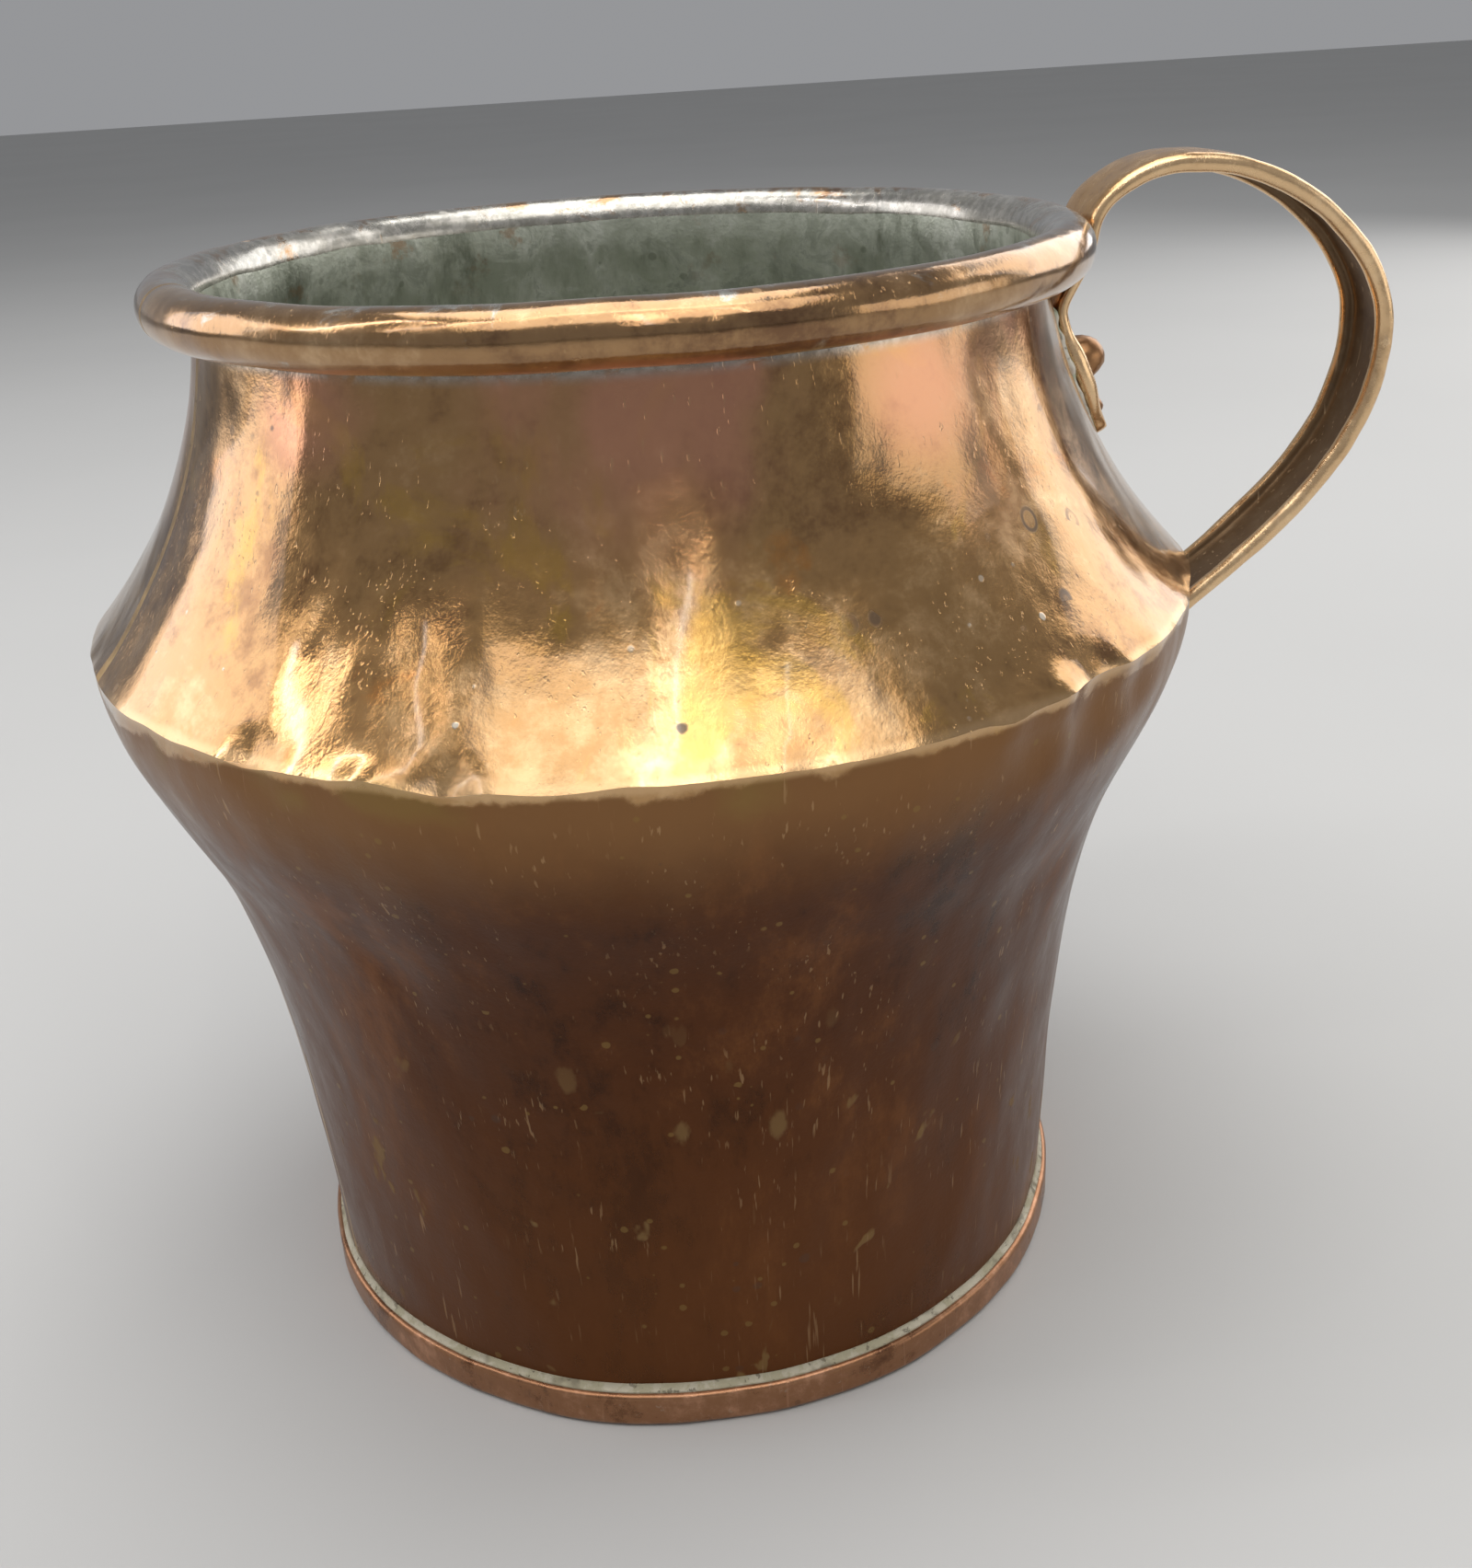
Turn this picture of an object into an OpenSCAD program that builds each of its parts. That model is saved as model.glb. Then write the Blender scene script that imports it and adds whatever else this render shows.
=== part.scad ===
// Hand-raised copper mug with a rolled rim, a sharp shoulder, a capped base and one riveted loop handle.
// Millimetres. Z is the vessel's axis, Z = 0 is the underside of the base, and the handle lies over +X.

/* [Vessel] */
// Height of the middle of the rim's rolled bead
rim_height = 205; // [185:1:240]
// Radius of the rim, to the middle of its bead
rim_radius = 83; // [70:0.5:95]
// Height of the shoulder crease
crease_height = 144; // [125:1:160]
// Outer radius of the vessel at the crease
crease_radius = 106.9; // [100:0.1:125]
// Outer radius of the wall where it enters the base cap
foot_radius = 78.5; // [66:0.5:90]
// Thickness of the copper sheet of the wall
wall = 1.5; // [1:0.1:2.5]
// Thickness of the wiped tin inside
tin = 0.3; // [0.2:0.05:0.6]

/* [Rim] */
// Radius of the iron wire inside the rolled rim
wire_radius = 3.5; // [2.5:0.1:4.5]
// Gap between the wire and the sheet rolled round it
wire_gap = 0.1; // [0.05:0.05:0.3]
// Gap between the rolled edge and the neck
lip_gap = 0.35; // [0.2:0.05:0.8]

/* [Base] */
// Thickness of the base cap's floor
base_floor = 1.5; // [1:0.1:3]
// Height of the base cap's upturned edge
cap_height = 7.2; // [5:0.1:12]
// Thickness of the base cap's upturned edge
cap_edge = 2; // [1.4:0.1:3]
// Gap between the wall and the base cap's edge
cap_gap = 0.1; // [0.05:0.05:0.3]
// Height of the solder bead above the base cap
seam_bead = 1.4; // [0.8:0.1:2.5]

/* [Vertical seam] */
// Direction of the brazed seam, counted from the handle
seam_angle = -161; // [-175:1:-120]
// Width of the brass run into the seam
seam_width = 2.6; // [1.5:0.1:5]

/* [Handle] */
// Width of the strap
strap_width = 18; // [14:0.5:26]
// Depth of the strap's channel section round the loop
strap_depth = 4; // [3:0.1:6]
// Depth of the strap's channel section where it passes the rim
rim_depth = 2.8; // [2.2:0.1:4]
// Thickness of the strap's web
strap_web = 1.6; // [1.2:0.1:2.5]
// Width of the folded hem along each edge of the strap
strap_hem = 3.2; // [2.2:0.1:5]
// How far the loop stands out past the crease
loop_reach = 45.7; // [36:0.1:60]
// How far the loop rises above the middle of the rim's bead
loop_rise = 13.6; // [8:0.1:24]
// Gap between the strap and the rim's bead
rim_clearance = 0.2; // [0.1:0.1:1.5]

/* [Leaves] */
// Thickness of the upper leaf between its hems, under the rivets
upper_leaf = 2; // [1.4:0.1:3]
// Thickness of the upper leaf at its hems, either side of the large rivet
upper_hem = 4; // [3:0.1:5]
// Thickness of the upper leaf's tongue, hammered flat below the large rivet
tongue = 2.9; // [2:0.1:4]
// Thickness of the lower leaf, with its hems hammered flat
lower_leaf = 3; // [2:0.1:4]
// Width of a leaf at its large rivet
leaf_width = 20; // [18:0.5:30]
// Width of a leaf at its tip
leaf_tip = 9; // [8:0.5:16]
// Depth of the upper leaf's tip below the middle of the rim's bead
upper_tip_drop = 41.2; // [38:0.1:50]
// Depth of the lower leaf's tip below the crease
lower_tip_drop = 58; // [52:0.5:66]
// Thickness of the solder between a leaf and the wall
solder = 0.9; // [0.5:0.1:1.5]
// How far the solder shows past the leaf's edge
solder_margin = 0.7; // [0.3:0.1:1.5]

/* [Rivets] */
// Radius of a large rivet's head
large_head = 4.7; // [4:0.1:6]
// Height of a large rivet's head
large_dome = 7.2; // [2.5:0.1:8]
// Radius of a large rivet's shank
large_shank = 2.4; // [1.6:0.1:3]
// Radius of a small rivet's head
small_head = 2.2; // [1.9:0.1:2.6]
// Height of a small rivet's head
small_dome = 1.6; // [1:0.1:2.5]
// Radius of a small rivet's shank
small_shank = 1.5; // [1:0.1:2]
// Gap between a shank and its hole
rivet_gap = 0.05; // [0.02:0.01:0.15]
// Distance from a leaf's tip up to its small rivet
small_from_tip = 4.2; // [3.5:0.1:6]
// Distance from a leaf's tip up to its large rivet
large_from_tip = 13.6; // [12:0.1:20]

/* [Hidden] */
$fn = 96;

// Radius of the rolled bead, and of the hollow that holds the wire
bead_radius = wire_radius + wire_gap + wall;
roll_hollow = wire_radius + wire_gap;
// The neck's outer radius, where the sheet goes straight up into the roll
neck_radius = rim_radius - bead_radius + wall;
// Height where the flare gives way to the straight neck
neck_start = rim_height - 4;
// Height and radius where the flare of the lower wall turns over into the shoulder band, as shares of the
// way from the base cap to the crease
turn_share = [0.553, 0.737];
turn_radius = foot_radius + (crease_radius - foot_radius) * turn_share[0];
turn_height = cap_height + (crease_height - cap_height) * turn_share[1];
// What each end of the wall's curves is drawn towards, as a step of radius and height from that end
foot_pull = [2.1, (turn_height - cap_height) * 0.53];
turn_pull_below = [-7.6, -16];
turn_pull_above = [5.6, 12];
crease_pull_below = [0, -12.5];
crease_pull_above = [-18.4, 20];
neck_pull = [2, -17];
// Segments along each curved stretch of the wall and of the strap
wall_steps = 11;
strap_steps = 6;
// Depth that a cutting shape runs past the surface it cuts
past = 1;
// Thickness of the solder where it thins out
bead_skin = 0.25;
// Height of a leaf's broad part round its large rivet
broad = 9;
// Share of a rivet's head that its hammered inner end measures across, and in height
inner_share = 0.8;
inner_rise = 0.35;
// How far the flat side of an inner end stands off the tin, so that its edge clears the curved wall
inner_stand = 0.2;

// A point on a cubic curve from a to d, drawn towards b and c
function curve(a, b, c, d, t) =
    pow(1 - t, 3) * a + 3 * pow(1 - t, 2) * t * b + 3 * (1 - t) * t * t * c + pow(t, 3) * d;

// Points along a cubic curve between two ends, each with its own pull, without the last point
function stretch(a, pull_a, pull_d, d, steps) =
    [for (i = [0 : steps - 1]) curve(a, a + pull_a, d + pull_d, d, i / steps)];

// Unit vector square to a direction, on its left
function left_of(v) = [-v[1], v[0]] / norm(v);

// Points of a path moved sideways with mitred corners, by one distance or by a list of them
function beside(path, d) = [
    for (i = [0 : len(path) - 1])
        let (back = path[i] - path[max(i - 1, 0)],
             ahead = path[min(i + 1, len(path) - 1)] - path[i],
             n1 = left_of(i == 0 ? ahead : back),
             n2 = left_of(i == len(path) - 1 ? back : ahead),
             m = (n1 + n2) / norm(n1 + n2))
        path[i] + m * (is_list(d) ? d[i] : d) / (m * n1)
];

// A list in the opposite order
function backwards(list) = [for (i = [len(list) - 1 : -1 : 0]) list[i]];

// The wall's outer line as points of radius and height, from the base cap's floor to the rim
wall_line = concat(
    [[foot_radius, base_floor]],
    stretch([foot_radius, cap_height], foot_pull, turn_pull_below, [turn_radius, turn_height], wall_steps),
    stretch([turn_radius, turn_height], turn_pull_above, crease_pull_below,
            [crease_radius, crease_height], wall_steps),
    stretch([crease_radius, crease_height], crease_pull_above, neck_pull,
            [neck_radius, neck_start], wall_steps),
    [[neck_radius, neck_start], [neck_radius, rim_height]]
);

// The wall's outer radius and its slope at a height
wall_table = [for (p = wall_line) [p[1], p[0]]];
function wall_radius(z) = lookup(z, wall_table);
function wall_slope(z) = wall_radius(z + 0.5) - wall_radius(z - 0.5);

// Heights of the leaves' tips, and of their tops where the strap grows out of them
upper_tip = rim_height - upper_tip_drop;
upper_top = rim_height - 16;
lower_tip = crease_height - lower_tip_drop;
lower_top = crease_height - 34;
// Distance from the wall to the faces under the rivet heads of the two leaves
upper_seat = solder + upper_leaf;
tongue_seat = solder + tongue;
lower_seat = solder + lower_leaf;

// The strap's outer face passes behind the rim, over the top of the loop, round its outermost point, and
// turns in under the crease
at_upper = [wall_radius(upper_top) + solder, upper_top];
at_rim = [rim_radius + bead_radius + rim_clearance, rim_height];
at_top = at_rim + [20.5, loop_rise - 0.3];
at_out = [crease_radius + loop_reach, crease_height + 38];
at_under = [at_out[0] - 25.7, crease_height - 6.6];
at_lower = [wall_radius(lower_top) + lower_seat, lower_top];
// What the strap's curves are drawn towards before and after each of those points
upper_pull = [-0.7, 5];
rim_pull_before = bead_radius * [-0.1, -1.5];
rim_pull_after = bead_radius * [0.2, 1.57];
top_pull_before = [-9, 0];
top_pull_after = [22, 0];
out_pull_before = [0, 17];
out_pull_after = [0, -17];
under_pull_before = [17.7, 15.1];
under_pull_after = [-8.8, -7.5];
lower_pull = [5, 11.7];
// How far the strap's path runs on behind each leaf
tail = 8;

// The outer face of the strap as points in its own plane, from the upper leaf to the lower one
strap_line = concat(
    [[wall_radius(upper_top - tail) + solder, upper_top - tail]],
    stretch(at_upper, upper_pull, rim_pull_before, at_rim, strap_steps),
    stretch(at_rim, rim_pull_after, top_pull_before, at_top, strap_steps),
    stretch(at_top, top_pull_after, out_pull_before, at_out, strap_steps * 2),
    stretch(at_out, out_pull_after, under_pull_before, at_under, strap_steps * 2),
    stretch(at_under, under_pull_after, lower_pull, at_lower, strap_steps),
    [at_lower, [wall_radius(lower_top - tail) + lower_seat, lower_top - tail]]
);

// The channel's depth at each of those points: shallow up to the rim, and full from the loop's top onwards
strap_depths = [
    for (i = [0 : len(strap_line) - 1])
        rim_depth + (strap_depth - rim_depth) * min(max((i - 1 - strap_steps) / strap_steps, 0), 1)
];

// Everything inside the wall's outer face moved out by a distance
module inside(distance) {
    rim_end = len(wall_line) - 1;
    line = beside(wall_line, -distance);
    rotate([0, 0, 90])
        rotate_extrude()
            polygon(concat([[0, line[0][1]]], line, [[0, line[rim_end][1]]]));
}

// A band of the strap from a depth under its outer face down to past its hems, as wide as asked
module strap_band(from, beyond, width) {
    rotate([90, 0, 0])
        linear_extrude(width, center = true)
            polygon(concat(
                beside(strap_line, -from),
                backwards(beside(strap_line, [for (depth = strap_depths) -depth - beyond]))
            ));
}

// A leaf's outline seen along X, widened all round by a margin: a broad part at the large rivet, and a
// tongue below it
module leaf_outline(tip, top, margin) {
    half = leaf_width / 2 + margin;
    half_tip = leaf_tip / 2 + margin;
    corner = min(2.5, half_tip);
    broad_top = tip + large_from_tip + broad / 2;
    broad_bottom = tip + large_from_tip - broad / 2;
    polygon([
        [-strap_width / 2 - margin, top],
        [-half, broad_top],
        [-half, broad_bottom],
        [-half_tip, tip + corner - margin],
        [-half_tip + corner, tip - margin],
        [half_tip - corner, tip - margin],
        [half_tip, tip + corner - margin],
        [half, broad_bottom],
        [half, broad_top],
        [strap_width / 2 + margin, top]
    ]);
}

// A leaf's outline as a prism that runs out past the crease
module leaf_prism(tip, top, margin) {
    rotate([90, 0, 90])
        linear_extrude(crease_radius * 2)
            leaf_outline(tip, top, margin);
}

// A layer that lies on the wall between two distances, cut to a leaf's outline
module leaf_layer(tip, top, margin, from, to) {
    intersection() {
        difference() {
            inside(to);
            inside(from);
        }
        leaf_prism(tip, top, margin);
    }
}

// Places its children on the wall at a height, with +Z pointing straight out of the sheet
module on_wall(height) {
    translate([wall_radius(height), 0, height])
        rotate([0, atan2(1, -wall_slope(height)), 0])
            children();
}

// The holes of one leaf's two rivets
module rivet_holes(tip) {
    on_wall(tip + large_from_tip)
        cylinder(r = large_shank + rivet_gap, h = 40, center = true);
    on_wall(tip + small_from_tip)
        cylinder(r = small_shank + rivet_gap, h = 40, center = true);
}

// The flat seats struck into a leaf under its two rivet heads
module rivet_seats(tip, large_seat, small_seat) {
    on_wall(tip + large_from_tip)
        translate([0, 0, large_seat])
            cylinder(r = large_head + rivet_gap * 2, h = strap_depth);
    on_wall(tip + small_from_tip)
        translate([0, 0, small_seat])
            cylinder(r = small_head + rivet_gap * 2, h = strap_depth);
}

// Half the outline of a rivet's end: a round cap on a straight collar, standing on the X axis
module end_outline(radius, height) {
    cap = min(height, radius * 0.9);
    ball = (radius * radius + cap * cap) / (2 * cap);
    intersection() {
        translate([0, height - ball])
            circle(r = ball);
        translate([0, height - cap])
            square([radius, cap]);
    }
    if (height > cap)
        square([radius, height - cap]);
}

// A rivet through a leaf and the wall: head on its seat outside, shank, and hammered end inside
module rivet(height, seat, head, head_height, shank) {
    grip = seat + wall + tin + inner_stand;
    on_wall(height)
        translate([0, 0, seat])
            rotate_extrude() {
                end_outline(head, head_height);
                translate([0, -grip])
                    square([shank, grip]);
                translate([0, -grip])
                    mirror([0, 1])
                        end_outline(head * inner_share, head_height * inner_rise);
            }
}

// The brass run between the two edges of the rolled sheet, as a cutting shape
module seam_slot(width) {
    rotate([0, 0, seam_angle])
        translate([0, -width / 2, 0])
            cube([crease_radius + past, width, neck_start - 2]);
}

// One copper sheet: raised wall, crease and neck, ending in a lip rolled round the wire
module body() {
    color("#9c5a2e")
        difference() {
            rotate_extrude() {
                polygon(concat(wall_line, backwards(beside(wall_line, wall))));
                difference() {
                    translate([rim_radius, rim_height])
                        circle(r = bead_radius);
                    translate([rim_radius, rim_height])
                        circle(r = roll_hollow);
                    translate([neck_radius, rim_height - bead_radius - past])
                        square([lip_gap, bead_radius + past]);
                }
            }
            seam_slot(seam_width);
            rivet_holes(upper_tip);
            rivet_holes(lower_tip);
        }
}

// Iron wire that stiffens the rim
module rim_wire() {
    color("#4b4643")
        rotate_extrude()
            translate([rim_radius, rim_height])
                circle(r = wire_radius);
}

// Copper disc with its edge turned up round the foot of the wall
module base_cap() {
    outer = foot_radius + cap_gap + cap_edge;
    corner = 1.2;
    color("#a8623a")
        rotate_extrude()
            difference() {
                union() {
                    square([outer - corner, cap_height - cap_edge / 2]);
                    translate([0, corner])
                        square([outer, cap_height - cap_edge / 2 - corner]);
                    translate([outer - corner, corner])
                        circle(r = corner);
                    translate([outer - cap_edge / 2, cap_height - cap_edge / 2])
                        circle(r = cap_edge / 2);
                }
                translate([-past, base_floor])
                    square([foot_radius + cap_gap + past, cap_height]);
            }
}

// Bead of solder in the groove between the wall and the round top of the base cap's edge
module base_seam_solder() {
    half = cap_edge / 2;
    inside_edge = foot_radius + cap_gap;
    crown = inside_edge + half;
    bottom = cap_height - half;
    top = cap_height + seam_bead;
    // Where flat faces that touch the round top meet, as a share of its radius
    corner = tan(22.5);
    color("#d8d3c4")
        rotate_extrude()
            polygon([
                [foot_radius, bottom],
                [inside_edge, bottom],
                [inside_edge, bottom + half * corner],
                [crown - half * corner, cap_height],
                [crown, cap_height],
                [crown, cap_height + bead_skin],
                [inside_edge + bead_skin, cap_height + seam_bead * 0.4],
                [wall_radius(top) + bead_skin, top],
                [wall_radius(top), top],
                [foot_radius, cap_height]
            ]);
}

// Wiped tin over the floor and up the wall to the rim
module tin_lining() {
    outer_line = beside(wall_line, wall);
    inner_line = beside(wall_line, wall + tin);
    last = len(inner_line) - 1;
    floor_top = base_floor + tin;
    color("#b9bbb4")
        difference() {
            rotate_extrude()
                polygon(concat(
                    [[0, base_floor]],
                    outer_line,
                    backwards([for (i = [1 : last]) inner_line[i]]),
                    [[inner_line[0][0], floor_top], [0, floor_top]]
                ));
            rivet_holes(upper_tip);
            rivet_holes(lower_tip);
        }
}

// Brass spelter that joins the sheet's edges from foot to neck
module seam_braze() {
    color("#b08d45")
        intersection() {
            rotate_extrude()
                polygon(concat(wall_line, backwards(beside(wall_line, wall))));
            seam_slot(seam_width);
        }
}

// The upper leaf: raised hems either side of the large rivet, a flat tongue below, and the strap's own
// depth above
module upper_leaf_body() {
    mound_bottom = upper_tip + large_from_tip - broad / 2;
    difference() {
        union() {
            leaf_layer(upper_tip, upper_top, 0, solder, solder + rim_depth);
            intersection() {
                leaf_layer(upper_tip, upper_top, 0, solder, solder + upper_hem);
                translate([0, -leaf_width, mound_bottom])
                    cube([crease_radius * 2, leaf_width * 2, broad]);
            }
            intersection() {
                leaf_layer(upper_tip, upper_top, 0, solder, tongue_seat);
                translate([0, -leaf_width, upper_tip - past])
                    cube([crease_radius * 2, leaf_width * 2, mound_bottom - upper_tip + 2 * past]);
            }
        }
        intersection() {
            leaf_layer(upper_tip, upper_top + past, -strap_hem, upper_seat, solder + upper_hem + past);
            translate([0, -leaf_width, mound_bottom + past])
                cube([crease_radius * 2, leaf_width * 2, rim_height]);
        }
    }
}

// Channel-section strap bent into a loop, with both ends flattened into leaves
module handle() {
    color("#a46f35")
        difference() {
            union() {
                difference() {
                    strap_band(0, 0, strap_width);
                    strap_band(strap_web, past, strap_width - 2 * strap_hem);
                    inside(solder);
                }
                upper_leaf_body();
                leaf_layer(lower_tip, lower_top, 0, solder, lower_seat);
            }
            rivet_holes(upper_tip);
            rivet_holes(lower_tip);
            rivet_seats(upper_tip, upper_seat, tongue_seat);
            rivet_seats(lower_tip, lower_seat, lower_seat);
        }
}

// Solder under a leaf, showing as a thin line round its edge
module leaf_solder(tip, top) {
    color("#cfd2b6")
        difference() {
            leaf_layer(tip, top, solder_margin, 0, solder);
            rivet_holes(tip);
        }
}

module upper_leaf_solder() {
    leaf_solder(upper_tip, upper_top - 2);
}

module lower_leaf_solder() {
    leaf_solder(lower_tip, lower_top - 2);
}

// The large rivet of a leaf, with its head on the leaf's seat
module large_rivet(tip, seat) {
    color("#96592f")
        rivet(tip + large_from_tip, seat, large_head, large_dome, large_shank);
}

// The small rivet near the tip of a leaf
module small_rivet(tip, seat) {
    color("#96592f")
        rivet(tip + small_from_tip, seat, small_head, small_dome, small_shank);
}

module upper_large_rivet() {
    large_rivet(upper_tip, upper_seat);
}

module upper_small_rivet() {
    small_rivet(upper_tip, tongue_seat);
}

module lower_large_rivet() {
    large_rivet(lower_tip, lower_seat);
}

module lower_small_rivet() {
    small_rivet(lower_tip, lower_seat);
}

body();
rim_wire();
base_cap();
base_seam_solder();
tin_lining();
seam_braze();
handle();
upper_leaf_solder();
lower_leaf_solder();
upper_large_rivet();
upper_small_rivet();
lower_large_rivet();
lower_small_rivet();
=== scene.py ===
import logging
import math
import random
from dataclasses import dataclass, field
from enum import Enum
from typing import Callable, Sequence

import bmesh
import bpy
from mathutils import Matrix, Vector
from mathutils.kdtree import KDTree


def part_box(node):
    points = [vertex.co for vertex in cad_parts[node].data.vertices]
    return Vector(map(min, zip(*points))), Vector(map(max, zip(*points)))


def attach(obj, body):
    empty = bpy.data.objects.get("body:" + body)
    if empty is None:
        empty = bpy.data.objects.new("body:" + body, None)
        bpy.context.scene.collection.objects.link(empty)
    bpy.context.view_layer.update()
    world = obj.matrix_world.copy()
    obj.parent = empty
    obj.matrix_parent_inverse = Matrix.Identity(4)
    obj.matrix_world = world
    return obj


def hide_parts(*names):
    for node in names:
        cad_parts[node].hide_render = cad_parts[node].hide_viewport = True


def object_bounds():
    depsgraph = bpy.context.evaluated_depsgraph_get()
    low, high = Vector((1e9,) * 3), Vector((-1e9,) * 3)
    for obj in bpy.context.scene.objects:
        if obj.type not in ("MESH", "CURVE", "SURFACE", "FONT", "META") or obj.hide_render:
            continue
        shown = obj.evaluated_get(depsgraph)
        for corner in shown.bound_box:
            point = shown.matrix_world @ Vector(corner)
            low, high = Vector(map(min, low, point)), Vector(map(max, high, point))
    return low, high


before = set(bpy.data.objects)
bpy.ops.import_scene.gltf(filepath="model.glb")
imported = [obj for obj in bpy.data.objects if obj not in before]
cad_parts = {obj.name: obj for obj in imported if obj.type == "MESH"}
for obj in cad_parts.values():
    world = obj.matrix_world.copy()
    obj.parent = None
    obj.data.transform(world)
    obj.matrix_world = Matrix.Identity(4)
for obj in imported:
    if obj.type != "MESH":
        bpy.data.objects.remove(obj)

CAD_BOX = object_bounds()
LOG = logging.getLogger("copper_mug")
MM = 0.001
Point = tuple[float, float]
Colour = tuple[float, float, float]


# ----------------------------------------------------------------------------------------------------
# Working with meshes by hand
# ----------------------------------------------------------------------------------------------------

def curve(a: Vector, pull_a: Vector, pull_d: Vector, d: Vector, steps: int) -> list[Vector]:
    """Points along a cubic curve between two ends, without the last point.

    Args:
        a: The near end.
        pull_a: What the near end is drawn towards, counted from it.
        pull_d: What the far end is drawn towards, counted from it.
        d: The far end.
        steps: How many points are made.

    Returns:
        The points, the near end first.
    """
    b, c = a + pull_a, d + pull_d
    points = []
    for i in range(steps):
        t = i / steps
        points.append(a * (1 - t) ** 3 + b * (3 * t * (1 - t) ** 2) + c * (3 * t * t * (1 - t)) + d * t ** 3)
    return points


def beside(path: Sequence[Vector], distance: float) -> list[Vector]:
    """A path moved sideways to its left, with mitred corners.

    Args:
        path: The points, as radius and height.
        distance: How far it moves.

    Returns:
        As many points as the path has.
    """
    moved = []
    for i, here in enumerate(path):
        ahead = path[min(i + 1, len(path) - 1)] - here
        back = here - path[max(i - 1, 0)]
        ahead = back if ahead.length == 0 else ahead
        back = ahead if back.length == 0 else back
        n1 = Vector((-back.y, back.x)).normalized()
        n2 = Vector((-ahead.y, ahead.x)).normalized()
        mitre = (n1 + n2).normalized()
        moved.append(here + mitre * (distance / max(mitre.dot(n1), 0.5)))
    return moved


def arc(centre: Vector, radius: float, start: float, end: float, steps: int) -> list[Vector]:
    """Points round part of a circle, both ends included.

    Args:
        centre: The circle's centre, as radius and height.
        radius: The circle's radius.
        start: Angle of the first point in degrees.
        end: Angle of the last point in degrees.
        steps: How many segments there are.

    Returns:
        The points in order.
    """
    angles = [math.radians(start + (end - start) * i / steps) for i in range(steps + 1)]
    return [centre + Vector((math.cos(a), math.sin(a))) * radius for a in angles]


def thin_out(points: Sequence[Vector], spacing: float) -> list[Vector]:
    """Points of a path that stand at least a spacing apart, with both of its ends.

    Args:
        points: The path.
        spacing: The least distance between two kept points.

    Returns:
        The kept points.
    """
    kept = [points[0]]
    for p in points[1:-1]:
        if (p - kept[-1]).length >= spacing and (p - points[-1]).length >= spacing * 0.5:
            kept.append(p)
    return kept + [points[-1]]


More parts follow.
